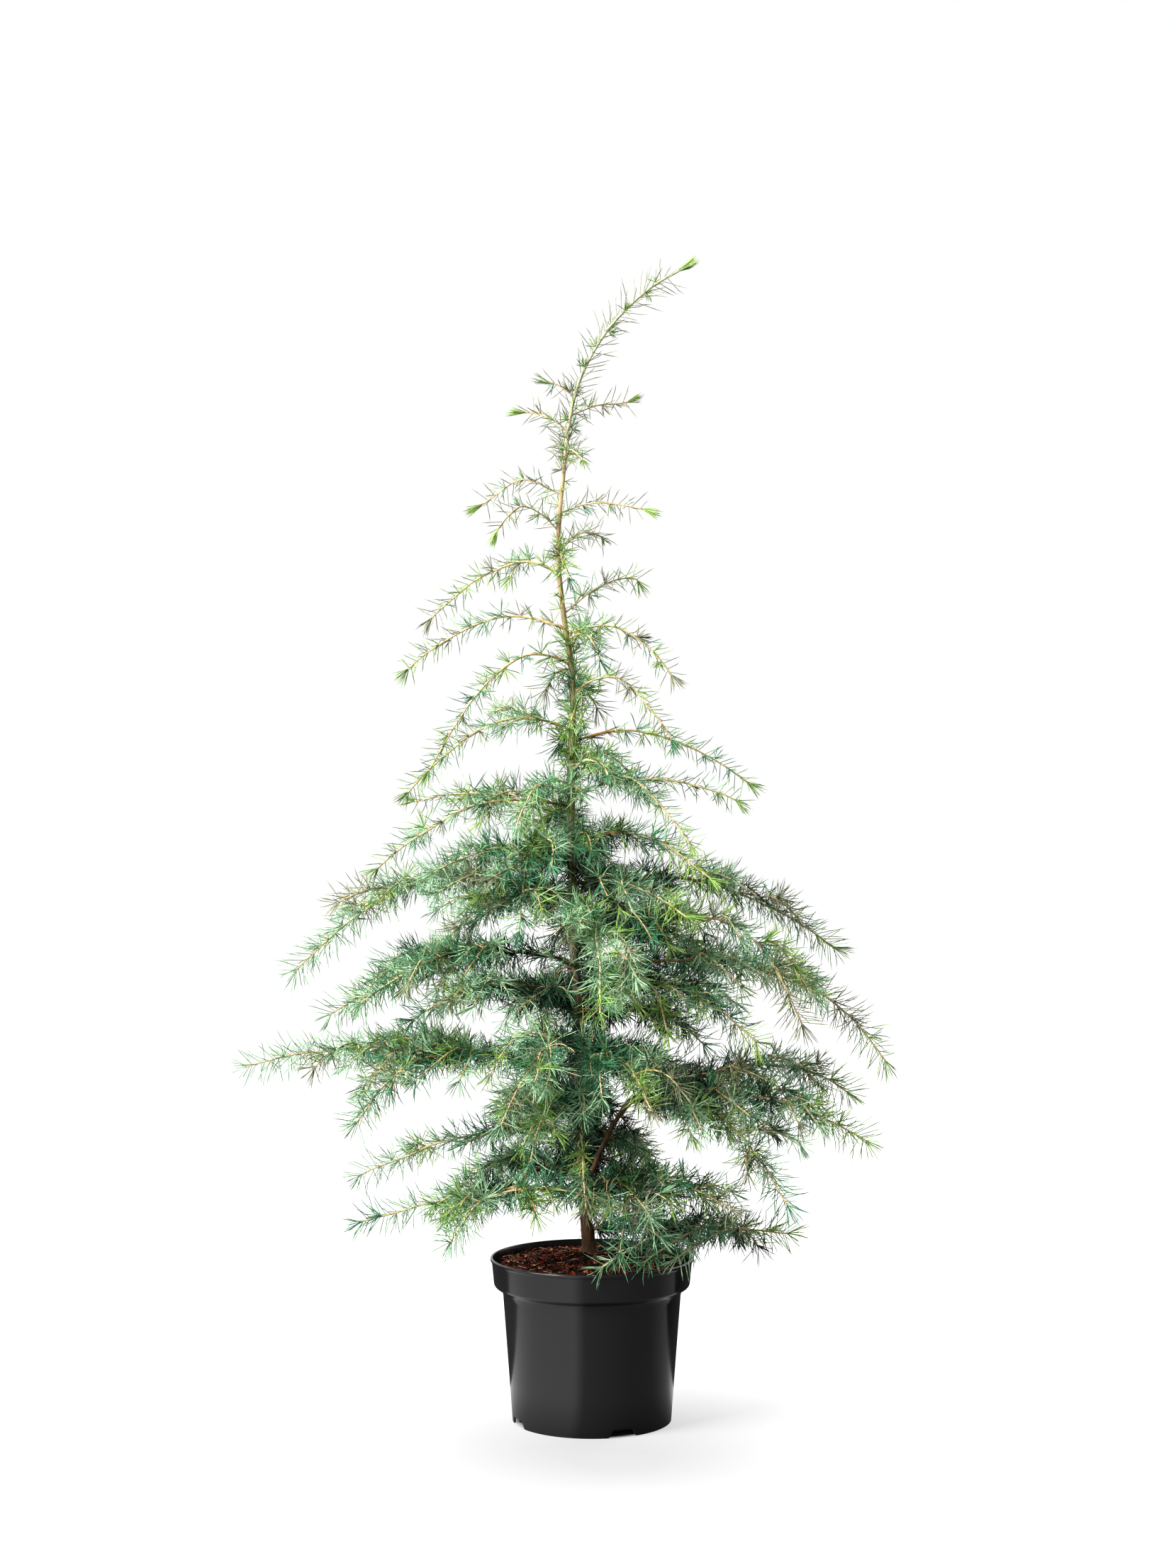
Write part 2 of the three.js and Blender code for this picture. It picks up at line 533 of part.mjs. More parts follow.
// A mass under construction: its skin and its twigs, each with its own faces.
class Mass {
  constructor(name, number) {
    this.name = name;
    this.number = number;
    this.skin = new Skin();
    this.twigs = [];
  }

  // A three-sided twig along a curve from share "start" to its tip. It opens with a
  // ring of its own, or takes the three corners of a face as its root.
  addTwig(curve, start, radius, root, firstAlong) {
    const length = curve.getLength() * (1 - start);
    const count = Math.max(1, Math.round(length / TWIG.step));
    const twig = { id: `${this.name}:${this.twigs.length}`, faces: [], curve, start, length };
    const shares = Array.from({ length: count + 1 }, (_, i) => 1 - ((1 - start) * (count - i)) / count);
    const radii = shares.map((_, i) => radius + ((TWIG.tipRadius - radius) * i) / count);
    const points = shares.map((share) => curve.getPointAt(share));
    let phase = chance(this.number, this.twigs.length, 5) * 2;
    let ring = root;
    if (root) {
      phase = this.phaseTowards(root, curve.getTangentAt(shares[1])) - TWIG.twist;
    } else {
      ring = this.skin.ring(points[0], firstAlong, radii[0], 3, phase);
      this.skin.fan([...ring].reverse());
    }
    points.slice(1).forEach((point, i) => {
      phase += TWIG.twist;
      const along = curve.getTangentAt(shares[i + 1]);
      const next = this.skin.ring(point, along, radii[i + 1], 3, phase);
      const sides = this.skin.bridge(ring, next);
      const isRoot = root && i === 0;
      if (!isRoot) sides.forEach((face) => twig.faces.push({ face, along }));
      ring = next;
    });
    this.skin.point(ring, points.at(-1).clone()
      .addScaledVector(curve.getTangentAt(1), NEEDLE.length * NEEDLE.end));
    fileCurve(points, radii.map((r) => r + ROOM.twig), twig.id);
    this.twigs.push(twig);
    return twig;
  }

  // The ring phase that lines its first point up with a root face's first corner.
  phaseTowards(face, along) {
    const side = new THREE.Vector3().crossVectors(UP, along).normalize();
    const lift = new THREE.Vector3().crossVectors(along, side);
    const arm = this.skin.points[face[0]].clone().sub(this.skin.center(face));
    return Math.atan2(arm.dot(lift), arm.dot(side));
  }

  // The face of a twig that best looks along "way" near a place.
  rootFace(twig, place, way) {
    const score = ({ face }) => this.skin.normal(face).dot(way)
      - this.skin.center(face).distanceTo(place) / TWIG.step;
    return twig.faces.reduce((a, b) => (score(b) > score(a) ? b : a));
  }

  // A twig or fork that grows out of another. A side twig grows only where its way
  // is clear.
  branch(parent, curve, radius, isFork = false) {
    const place = curve.getPointAt(0);
    const way = curve.getTangentAt(0);
    const entry = this.rootFace(parent, place, way);
    const steps = Math.max(2, Math.round(curve.getLength() / TWIG.step));
    const points = Array.from({ length: steps + 1 }, (_, i) => curve.getPointAt(i / steps));
    const pieces = points.slice(1).map((b, i) => (
      { a: points[i], b, radius: radius + ROOM.newTwig }));
    const family = this.twigs.map((twig) => twig.id);
    const clear = pieces.every((piece, i) => isOverPot(piece)
      && isClear(piece, i === 0 ? family : [parent.id]));
    if (!clear && !isFork) return null;
    parent.faces.splice(parent.faces.indexOf(entry), 1);
    this.skin.remove(entry.face);
    return this.addTwig(curve, 0, radius, entry.face);
  }

  // Side twigs on alternate sides, shorter towards the tip, drooping at their ends.
  addSideTwigs(twig) {
    const count = Math.floor(twig.length / SIDE.spacing);
    const longest = Math.min(SIDE.longest, SIDE.reachShare * twig.length + SIDE.shortest);
    for (let k = 0; k < count; k += 2) {
      const along = (k + 0.6 + 0.5 * chance(this.number, k, 2)) / (count + 0.5);
      const share = twig.start + (1 - twig.start) * along;
      const length = longest * (1 - along) ** 0.6 * (0.7 + 0.5 * chance(this.number, k, 3));
      const hand = k % 4 === 0 ? 1 : -1;
      if (length > SIDE.shortest) {
        this.branch(twig, this.sideCurve(twig, share, length, hand, k), SIDE.radius);
      }
    }
  }

  sideCurve(twig, share, length, hand, k) {
    const root = twig.curve.getPointAt(share);
    const ahead = twig.curve.getTangentAt(share).setZ(0).normalize();
    const turn = hand * (SIDE.spread + 16 * (chance(this.number, k, 4) - 0.5));
    const way = ahead.applyAxisAngle(UP, rad(turn));
    const hang = length * (0.1 + 0.75 * chance(this.number, k, 6) ** 2);
    const out = Math.sqrt(Math.max(length * length - hang * hang, 0.2 * length * length));
    const tip = root.clone().addScaledVector(way, out).setZ(root.z - hang);
    const shape = { rise: SIDE.rise * length, crest: SIDE.crest };
    return new Arch(root, tip, shape, SIDE.bow * hand);
  }

  // Needles: faces drawn out where the way is clear.
  addNeedles() {
    this.twigs.forEach((twig, t) => {
      twig.faces.forEach(({ face, along }, k) => {
        if (chance(this.number + t, k, 7) > NEEDLE.share) return;
        const lean = rad(NEEDLE.lean + 14 * (chance(this.number + t, k, 8) - 0.5));
        const way = this.skin.normal(face).multiplyScalar(Math.cos(lean))
          .addScaledVector(along, Math.sin(lean)).normalize();
        const center = this.skin.center(face);
        const tip = center.clone().addScaledVector(way,
          NEEDLE.length * (0.85 + 0.3 * chance(this.number + t, k, 9)));
        const pieces = this.fanTo(face, tip, twig.id);
        if (!pieces.every((piece) => isOverPot(piece) && isClear(piece, [twig.id]))) return;
        pieces.forEach(file);
        this.skin.remove(face);
        this.skin.point(face, tip);
      });
    });
  }

  // Lines from along a face's long side to the needle's tip.
  fanTo(face, tip, twig) {
    const corners = this.skin.corners(face);
    const edges = corners.map((p, i) => p.distanceTo(corners[(i + 1) % 3]));
    const shortest = edges.indexOf(Math.min(...edges));
    const foot = corners[shortest].clone().lerp(corners[(shortest + 1) % 3], 0.5);
    const far = corners[(shortest + 2) % 3];
    return [0.08, 0.34, 0.6, 0.86].map((t) => (
      { a: foot.clone().lerp(far, t), b: tip, radius: ROOM.needle, twig }));
  }
}

// Where a limb that stands straight on the trunk starts: the first share at which
// its upright end, of a given radius, is clear of the bark.
function startOnTrunk(curve, limb, radius) {
  const bark = [-12, 0, 12].map((lift) => {
    const share = trunkShare(limb.at + lift);
    const along = trunkLine.getTangentAt(share);
    const [a, b] = [-8, 8].map((d) => trunkLine.getPointAt(share).addScaledVector(along, d));
    return { a, b, room: trunkRadius(share) + GAP };
  });
  const edge = [UP, UP.clone().negate()].map((way) => way.clone().multiplyScalar(radius));
  const isFree = (start) => edge.every((arm) => {
    const a = curve.getPointAt(start).add(arm);
    const dot = { a, b: a.clone().addScaledVector(UP, 0.01) };
    return bark.every((piece) => distance(dot, piece) >= piece.room);
  });
  const step = 0.05 / curve.getLength();
  let start = 0;
  while (!isFree(start)) start += step;
  return start;
}

// The sleeve: a bored, closed-topped tube round the leader that bears needles.
function leaderMass(number) {
  const mass = new Mass('leader', number);
  const { skin } = mass;
  const across = 1 / Math.cos(Math.PI / SLEEVE.sides);
  const twig = { id: 'leader:0', faces: [], curve: trunkLine, start: sleeveShare };
  const ringAt = (share, extra) => skin.ring(trunkLine.getPointAt(share),
    trunkLine.getTangentAt(share), (trunkRadius(share) + GAP) * across + extra,
    SLEEVE.sides, 0, true);
  const outer = upperShares.map((share) => ringAt(share, SLEEVE.wall));
  const inner = upperShares.map((share) => ringAt(share, 0));
  outer.slice(1).forEach((ring, i) => {
    const along = trunkLine.getTangentAt(upperShares[i + 1]);
    skin.bridge(outer[i], ring).forEach((face) => twig.faces.push({ face, along }));
    skin.bridge([...inner[i]].reverse(), [...inner[i + 1]].reverse());
  });
  skin.bridge(inner[0], outer[0]);

  // The bore is closed a gap past the trunk's tip, the outside at the last needle.
  const end = trunkLine.getPointAt(1);
  const ahead = trunkLine.getTangentAt(1);
  skin.point([...inner.at(-1)].reverse(), end.clone().addScaledVector(ahead, SLEEVE.endGap));
  skin.point(outer.at(-1), end.clone().addScaledVector(ahead, NEEDLE.length * NEEDLE.end));
  fileCurve(upperShares.map((share) => trunkLine.getPointAt(share)),
    upperShares.map(() => SLEEVE.room), twig.id);
  mass.twigs.push(twig);
  LEADER_TWIGS.forEach((row) => {
    const root = trunkLine.getPointAt(trunkShare(row.at));
    mass.branch(twig, new Arch(root, tipOf(root, row), row, 0), SIDE.radius, true);
  });
  return mass;
}

// ---------------------------------------------------------------------- assembly

const cedar = new THREE.Group();
cedar.add(nodeOf('pot', potGeometry(), MATERIALS.pot));
cedar.add(nodeOf('soil', soilGeometry(), MATERIALS.soil));
cedar.add(nodeOf('trunk', trunkGeometry(), MATERIALS.bark));

// The trunk's own line is filed first, so that nothing grows through it.
const trunkSteps = lowerShares.concat(sleeveShare);
fileCurve(trunkSteps.map((share) => trunkLine.getPointAt(share)),
  trunkSteps.map((share) => trunkRadius(share) + GAP), 'trunk');

// Boughs and the stems of all masses come first, then forks, twigs and needles.
const masses = LIMBS.map((limb, i) => {
  const number = i + 1;
  let curve = limbCurve(limb, number);
  const mass = new Mass(limb.name, number);
  let start = 0;
  let firstAlong = compass(limb.azimuth);
  if (limb.bare) {
    cedar.add(nodeOf(`bough_${limb.name}`, boughGeometry(curve, limb), MATERIALS.bark));
    const points = [0.2, 0.6, 1].map((t) => curve.getPointAt(t * limb.bare));
    fileCurve(points, [ROOM.bough, ROOM.bough], `bough ${limb.name}`);
    firstAlong = curve.getTangentAt(limb.bare);
    if (limb.crown) {
      const end = curve.getPointAt(1).addScaledVector(firstAlong, GAP);
      curve = new Arch(end, tipOf(curve.getPointAt(0), limb.crown), limb.crown, 0);
    } else {
      start = limb.bare + GAP / curve.getLength();
    }
  } else {
    start = startOnTrunk(curve, limb, TWIG.radius * 2.5);
  }
  const reach = limb.crown?.reach ?? limb.reach;
  mass.stem = mass.addTwig(curve, start, Math.max(TWIG.radius, limbRadius(reach, 0.3 + start)),
    null, firstAlong);
  mass.forks = limb.crown?.forks ?? limb.forks ?? [];
  mass.root = trunkLine.getPointAt(trunkShare(limb.at));
  return mass;
});

masses.forEach((mass) => {
  mass.limbs = [mass.stem, ...mass.forks.map((fork) => {
    const root = mass.stem.curve.getPointAt(Math.max(fork.from, mass.stem.start + 0.03));
    const bow = TWIG.bow * (chance(mass.number, 9, 1) - 0.5);
    const curve = new Arch(root, tipOf(mass.root, fork), fork, bow);
    return mass.branch(mass.stem, curve, TWIG.radius, true);
  })];
});
masses.push(leaderMass(LIMBS.length + 1));
masses.forEach((mass) => mass.limbs?.forEach((limb) => mass.addSideTwigs(limb)));
masses.forEach((mass) => mass.addNeedles());
masses.forEach((mass) => {
  cedar.add(nodeOf(`foliage_${mass.name}`, mass.skin.geometry(), MATERIALS.foliage));
});

export default cedar;
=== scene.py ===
"""A young deodar cedar in a black nursery pot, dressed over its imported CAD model.

The script follows the plant as a nursery puts it together: the pot, its compost, the
trunk and its boughs, the twigs, and the needles on them. Shapes are worked out in
millimetres in the plant's own frame, +Z up, and add_piece turns them into metres.
"""

import bpy
import numpy as np
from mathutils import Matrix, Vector


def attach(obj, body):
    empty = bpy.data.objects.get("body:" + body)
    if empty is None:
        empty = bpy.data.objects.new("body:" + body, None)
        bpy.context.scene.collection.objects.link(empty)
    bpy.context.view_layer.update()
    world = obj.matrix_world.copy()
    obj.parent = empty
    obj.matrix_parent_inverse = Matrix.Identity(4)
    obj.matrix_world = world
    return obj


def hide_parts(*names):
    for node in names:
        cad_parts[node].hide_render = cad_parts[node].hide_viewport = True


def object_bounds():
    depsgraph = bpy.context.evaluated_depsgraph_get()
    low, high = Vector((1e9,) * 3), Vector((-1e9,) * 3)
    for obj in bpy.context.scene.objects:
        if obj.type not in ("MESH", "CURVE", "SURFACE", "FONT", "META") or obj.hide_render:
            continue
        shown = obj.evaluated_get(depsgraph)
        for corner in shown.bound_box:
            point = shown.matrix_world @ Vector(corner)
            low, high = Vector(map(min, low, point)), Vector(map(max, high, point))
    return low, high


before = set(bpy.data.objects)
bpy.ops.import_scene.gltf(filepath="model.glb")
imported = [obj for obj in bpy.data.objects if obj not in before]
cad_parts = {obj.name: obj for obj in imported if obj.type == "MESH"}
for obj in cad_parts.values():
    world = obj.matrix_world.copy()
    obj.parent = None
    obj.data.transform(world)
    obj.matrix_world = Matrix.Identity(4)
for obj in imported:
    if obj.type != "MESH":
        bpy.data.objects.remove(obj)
cad_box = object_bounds()

# ------------------------------------------------------------------------ camera
# A level camera 3.29 m in front of the pot, 0.81 m above the floor, with a lens that
# takes in the whole plant and a margin of floor and sky round it.

CAMERA_PLACE = (-0.005, -3.29, 0.812)
CAMERA_LENS = 59.06

camera = bpy.data.objects.new("camera", bpy.data.cameras.new("camera"))
camera.data.lens = CAMERA_LENS
camera.location = CAMERA_PLACE
camera.rotation_euler = (np.pi / 2, 0, 0)
bpy.context.collection.objects.link(camera)
bpy.context.scene.camera = camera

# --------------------------------------------------------------------- the pot
# A round nursery container of black polypropylene, moulded in one shot: a thin
# tapered body, a wider collar for stacking, a small rolled lip, and four drain
# notches through the foot, under a raised floor.

POT_COLUMNS = 288
POT_SECTION = [  # radius, height, rounding: under the floor, out, up and back inside
    (98.4, 12, 0.8), (98.9, 0, 0.7), (101.4, 0, 0.7), (102.4, 14, 0.5), (113.6, 161, 2.5),
    (115.6, 167.5, 2.2), (123.4, 171.4, 1.6), (125.2, 174.2, 1.2), (128.0, 202.6, 0.8),
    (129.9, 204.2, 0.7), (129.9, 207.1, 0.8), (128.6, 208, 0.5), (127.0, 207.8, 0.7),
    (126.3, 203.2, 0.8), (123.4, 176, 1.6), (113.2, 169.2, 2), (111.6, 163, 2), (100.2, 14, 1),
]  # fmt: skip
POT_FOOT_RADIUS = POT_SECTION[2][0]
NOTCH_AZIMUTHS = np.radians([22.5, 112.5, 202.5, 292.5])
NOTCH_FOOT = 36
NOTCH_ROOF = 27
NOTCH_HEIGHT = 9.5
POT_FLOOR = 12


def rounded(corners, steps=5):
    """A section with rounded corners. Each corner (radius, height, rounding) becomes
    the quadratic curve from the point that far before it to the point that far past
    it, with the corner itself as its handle."""
    corners = np.array(corners, float)
    place, reach = corners[:, :2], corners[:, 2:]
    back = np.roll(place, 1, 0) - place
    back[0] = (-1, 0)
    ahead = np.roll(place, -1, 0) - place
    ahead[-1] = (-1, 0)
    first = place + reach * back / np.linalg.norm(back, axis=1, keepdims=True)
    last = place + reach * ahead / np.linalg.norm(ahead, axis=1, keepdims=True)
    t = np.linspace(0, 1, steps)[None, :, None]
    curve = first[:, None] * (1 - t) ** 2 + place[:, None] * 2 * t * (1 - t) + last[:, None] * t**2
    return curve.reshape(-1, 2)


def ring_faces(rows, columns):
    """Triangles over a grid of points whose last column meets its first. They look
    outwards where the columns run anticlockwise and the rows run up."""
    index = np.arange(rows * columns).reshape(rows, columns)
    a, b = index[:-1], index[1:]
    c, d = np.roll(b, -1, 1), np.roll(a, -1, 1)
    halves = [np.stack([a, d, c], -1), np.stack([a, c, b], -1)]
    return np.concatenate([half.reshape(-1, 3) for half in halves])


def copied(faces, count, step):
    """The triangles of one shape, for a count of shapes of step points each."""
    return (faces + step * np.arange(count)[:, None, None]).reshape(-1, 3)


def closed(rings, *ends):
    """Points and triangles of closed bodies, each a grid of rings, as (n, rows,
    columns, 3). Fans close each at both ends, to the two end points given, or else
    to the middles of its end rings."""
    n, rows, columns = rings.shape[:3]
    middles = np.array([ends]) if ends else rings[:, [0, -1]].mean(2)
    points = np.concatenate([rings.reshape(n, -1, 3), middles], 1)
    first = np.arange(columns)
    last = first + (rows - 1) * columns
    foot = np.stack([np.full(columns, rows * columns), np.roll(first, -1), first], -1)
    head = np.stack([last, np.roll(last, -1), np.full(columns, rows * columns + 1)], -1)
    faces = np.concatenate([ring_faces(rows, columns), foot, head])
    return points.reshape(-1, 3), copied(faces, n, points.shape[1])


def add_piece(name, points, faces, material, slot, *nodes, smooth=True):
    """A mesh object from points in millimetres and triangles. It rides on the root
    and stands for the named CAD nodes."""
    mesh = bpy.data.meshes.new(name)
    mesh.vertices.add(len(points))
    mesh.vertices.foreach_set("co", (np.asarray(points) / 1000).astype(np.float32).ravel())
    mesh.loops.add(faces.size)
    mesh.loops.foreach_set("vertex_index", faces.astype(np.int32).ravel())
    mesh.polygons.add(len(faces))
    mesh.polygons.foreach_set("loop_start", np.arange(0, faces.size, 3, dtype=np.int32))
    mesh.polygons.foreach_set("use_smooth", np.full(len(faces), smooth))
    mesh.update(calc_edges=True)
    mesh.materials.append(material)
    piece = bpy.data.objects.new(name, mesh)
    bpy.context.collection.objects.link(piece)
    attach(piece, "root")
    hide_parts(*nodes)
    return piece


def paint(code):
    """A web colour such as 5d8f7d as linear red, green, blue and 1."""
    share = np.array([int(code[i : i + 2], 16) for i in (0, 2, 4)]) / 255
    linear = np.where(share < 0.04045, share / 12.92, ((share + 0.055) / 1.055) ** 2.4)
    return (*linear, 1)


def wire(node, sockets):
    """Links or sets a node's inputs, each by its name or its number."""
    for key, value in sockets.items():
        if isinstance(value, bpy.types.NodeSocket):
            node.id_data.links.new(value, node.inputs[key])
        else:
            node.inputs[key].default_value = value


def put(tree, kind, sockets, out=0, **settings):
    """One output of a new shader node, which gets its settings and its inputs."""
    node = tree.nodes.new("ShaderNode" + kind)
    for key, value in settings.items():
        setattr(node, key, value)
    wire(node, sockets)
    return node.outputs[out]


def noise(tree, place, scale, detail=2):
    """Soft noise about 0.5, with a scale of patches to the metre."""
    return put(tree, "TexNoise", {"Vector": place, "Scale": scale, "Detail": detail})


def ranged(tree, value, *limits):
    """A value carried from between two limits to between the next two, or 0 and 1,
    and held at those."""
    return put(tree, "MapRange", dict(enumerate((value, *limits))))


def worked(tree, operation, first, second):
    """The sum, product or other work of two values."""
    return put(tree, "Math", {0: first, 1: second}, operation=operation)


def blended(tree, share, first, second):
    """Two colours blended by the second one's share."""
    return put(tree, "Mix", {0: share, 6: first, 7: second}, 2, data_type="RGBA")


def bumped(tree, height, strength, distance=0.0006):
    """The normal of a surface that rises by a height times a distance."""
    return put(tree, "Bump", {"Height": height, "Strength": strength, "Distance": distance})


def new_material(name, roughness, specular=0.5):
    """A material whose shader has these constants, its node tree, and that shader."""
    material = bpy.data.materials.new(name)
    material.use_nodes = True
    shader = material.node_tree.nodes["Principled BSDF"]
    wire(shader, {"Roughness": roughness, "Specular IOR Level": specular})
    return material, material.node_tree, shader


def pot_plastic():
    """Black plastic with a satin gloss: faint flow marks from the mould, scuffs that
    dull it, and a few grains of dust."""
    material, tree, shader = new_material("pot_plastic", 0.3)
    place = put(tree, "TexCoord", {}, "Object")
    flow = ranged(tree, noise(tree, place, 9, 3), 0.3, 0.7, 0.12, 0.21)
    rubbed = put(tree, "Mapping", {"Vector": place, "Scale": (60, 60, 420)})
    scuffs = ranged(tree, noise(tree, rubbed, 1, 4), 0.62, 0.78, 0, 0.16)
    cells = put(tree, "TexVoronoi", {"Vector": place, "Scale": 95}, "Distance")
    sparse = ranged(tree, noise(tree, place, 31), 0.6, 0.66, 0, 0.5)
    dust = worked(tree, "MULTIPLY", ranged(tree, cells, 0.1, 0.05), sparse)
    surface = {
        "Base Color": blended(tree, dust, paint("161617"), paint("4c4843")),
        "Roughness": worked(tree, "ADD", flow, scuffs),
        "Normal": bumped(tree, noise(tree, place, 420), 0.06, 0.0004),
    }
    wire(shader, surface)
    return material


def around(count):
    """The azimuths of a count of columns once round, in radians."""
    return np.linspace(0, 2 * np.pi, count, endpoint=False)


def polar(radius, azimuth, height):
    """Points at radii, at azimuths in radians and at heights."""
    parts = radius * np.cos(azimuth), radius * np.sin(azimuth), height
    return np.stack(np.broadcast_arrays(*parts), -1)


def pot_shell():
    """The section turned about the axis. Below the floor each point is lifted by the
    notch's height there times its closeness to the foot, and a slight waviness of
    the body makes its gloss uneven, as thin plastic is."""
    section = rounded(POT_SECTION)
    azimuth = around(POT_COLUMNS)
    apart = np.abs((azimuth[:, None] - NOTCH_AZIMUTHS + np.pi) % (2 * np.pi) - np.pi).min(1)
    slope = (NOTCH_FOOT / 2 - POT_FOOT_RADIUS * np.sin(apart)) / ((NOTCH_FOOT - NOTCH_ROOF) / 2)
    notch = NOTCH_HEIGHT * np.clip(slope, 0, 1)
    radius, height = section[:, :1], section[:, 1:]
    lift = notch * np.clip(1 - height / POT_FLOOR, 0, 1)
    wave = 0.12 * np.sin(3 * azimuth + height / 70) + 0.06 * np.sin(8 * azimuth + 2)
    body = np.clip((height - 20) / 40, 0, 1) * np.clip((168 - height) / 20, 0, 1)
    return polar(radius + 0.07 * lift + wave * body, azimuth, height + lift)


pot = closed(pot_shell()[None], (0, 0, POT_FLOOR), (0, 0, POT_FLOOR + 2))
add_piece("pot_shell", *pot, pot_plastic(), "pot_plastic", "pot")

# ----------------------------------------------------------------- the compost
# Damp peat with composted bark, heaped a little towards the trunk and settled a
# finger's breadth under the lip. Chips of red-brown bark and bent fibres lie loose
# on it.

COMPOST_RADII = (0, 24, 70, 125.2)
COMPOST_HEIGHTS = (210, 209.3, 202.4, 197.2)
COMPOST_EDGE = COMPOST_RADII[-1]
COMPOST_COLUMNS = 280
COMPOST_RINGS = 96
PLUG_FOOT = 150
PLUG_CROWN = 212
PLUG_SIDE = ((106, PLUG_FOOT), (111, 168), (120, 178), (124, 190))
TRUNK_FOOT = (-2.6, 8)
CHIP_KINDS = {  # colour, count, least and most length
    "amber": ("f79b5b", 330, 1.8, 6),
    "russet": ("86290e", 1100, 1.6, 7),
    "dark": ("100402", 1300, 2.4, 9),
}
FIBRE_KINDS = {  # colour, count, least and most length
    "pale": ("eeb38c", 150, 6, 17),
    "red": ("93401f", 220, 6, 20),
}
FIBRE_RADIUS = 0.34
HASH_WAYS = (12.9898, 78.233, 37.719)
HASH_GAIN = 43758.5453

draw = np.random.default_rng(1846)


def hashed(value):
    """A number from 0 to 1 that seems random: the fraction of HASH_GAIN times the
    sine of a value."""
    wave = np.sin(value) * HASH_GAIN
    return wave - np.floor(wave)


def grain(points, size, seed):
    """Smooth noise from -1 to 1: a random number at each corner of a lattice of cubes
    of a size, blended between the eight corners by a smooth step."""
    cell = np.asarray(points, float) / size
    low = np.floor(cell)
    share = cell - low
    share = share * share * (3 - 2 * share)
    total = 0
    for corner in np.ndindex(2, 2, 2):
        number = hashed((low + corner) @ HASH_WAYS + seed)
        total = total + number * np.prod(np.where(corner, share, 1 - share), -1)
    return 2 * total - 1


def compost_height(place):
    """The mound's height over level places: a slope from the edge to the crown, a
    little heap against the trunk, and lumps, crumbs and fine crumbs of noise."""
    x, y = place[..., 0], place[..., 1]
    radius = np.hypot(x, y)
    heap = 2.5 * np.exp(-((np.hypot(x - TRUNK_FOOT[0], y - TRUNK_FOOT[1]) / 16) ** 2))
    lumps = 2.0 * grain(place, 17, 3) + 1.3 * grain(place, 6.5, 5)
    crumbs = 0.8 * grain(place, 3.1, 7) + 0.5 * grain(place, 1.7, 9)
    return np.interp(radius, COMPOST_RADII, COMPOST_HEIGHTS) + heap + lumps + crumbs


def new_group(name, given, result):
    """A shader node group, its given values and its end, with its sockets named."""
    group = bpy.data.node_groups.new(name, "ShaderNodeTree")
    for side, sockets in (("INPUT", given), ("OUTPUT", result)):
        for socket, kind in sockets.items():
            group.interface.new_socket(socket, in_out=side, socket_type="NodeSocket" + kind)
    return group, group.nodes.new("NodeGroupInput").outputs, group.nodes.new("NodeGroupOutput")


def mottle_group():
    """A group for natural stuff: two colours mixed by noise at two sizes, and that
    mix as a height."""
    given = {"Dark": "Color", "Light": "Color", "Scale": "Float"}
    group, given, result = new_group("mottle", given, {"Color": "Color", "Height": "Float"})
    place = put(group, "TexCoord", {}, "Object")
    broad = noise(group, place, given["Scale"])
    close = noise(group, place, worked(group, "MULTIPLY", given["Scale"], 5.3), 3)
    share = ranged(group, put(group, "Mix", {0: 0.45, 2: broad, 3: close}), 0.36, 0.64)
    wire(result, {"Color": blended(group, share, given["Dark"], given["Light"]), "Height": share})
    return group


mottle = mottle_group()


def mottled(name, dark, light, scale, roughness, relief, specular=0.5):
    """A material whose colour and relief both follow the mottle group."""
    material, tree, shader = new_material(name, roughness, specular)
    given = {"Dark": paint(dark), "Light": paint(light), "Scale": scale}
    color = put(tree, "Group", given, "Color", node_tree=mottle)
    normal = bumped(tree, color.node.outputs["Height"], relief)
    wire(shader, {"Base Color": color, "Normal": normal})
    return material


def darker(color, tenths):
    """A web colour taken down to so many tenths."""
    return "".join(f"{int(color[i : i + 2], 16) * tenths // 10:02x}" for i in (0, 2, 4))


def compost_plug():
    """Rings from the plug's foot up its side and in over the mound to its crown."""
    azimuth = around(COMPOST_COLUMNS)
    side = [polar(radius, azimuth, height) for radius, height in PLUG_SIDE]
    radius = COMPOST_EDGE * np.linspace(1, 0.012, COMPOST_RINGS)[:, None] ** 0.9
    mound = polar(radius, azimuth, 0)
    mound[..., 2] = compost_height(mound)
    return np.concatenate([side, mound])


plug = closed(compost_plug()[None], (0, 0, PLUG_FOOT), (0, 0, PLUG_CROWN))
compost = mottled("compost", "030100", "200a04", 160, 0.95, relief=0.9, specular=0.15)
add_piece("compost_bed", *plug, compost, "compost", "soil")


def unit(vectors):
    """Vectors drawn to length 1."""
    return vectors / np.linalg.norm(vectors, axis=-1, keepdims=True)


def spun(side, lift, turn):
    """Arms turned by an angle from side towards lift: side by its cosine and lift by
    its sine."""
    return side * np.cos(turn) + lift * np.sin(turn)


def random_turns(count, tilt):
    """Frames (count, 3, 3) of crossed unit axes: a random heading in the plane, then a
    lean of up to tilt from level, about a random level axis."""
    heading = draw.uniform(0, 2 * np.pi, count)
    lean = draw.uniform(-tilt, tilt, (count, 2))
    along = unit(polar(1, heading, lean[:, 0]))
    across = np.stack([-np.sin(heading), np.cos(heading), lean[:, 1]], -1)
    across = unit(across - along * np.sum(across * along, 1, keepdims=True))
    return np.stack([along, across, np.cross(along, across)], 1)


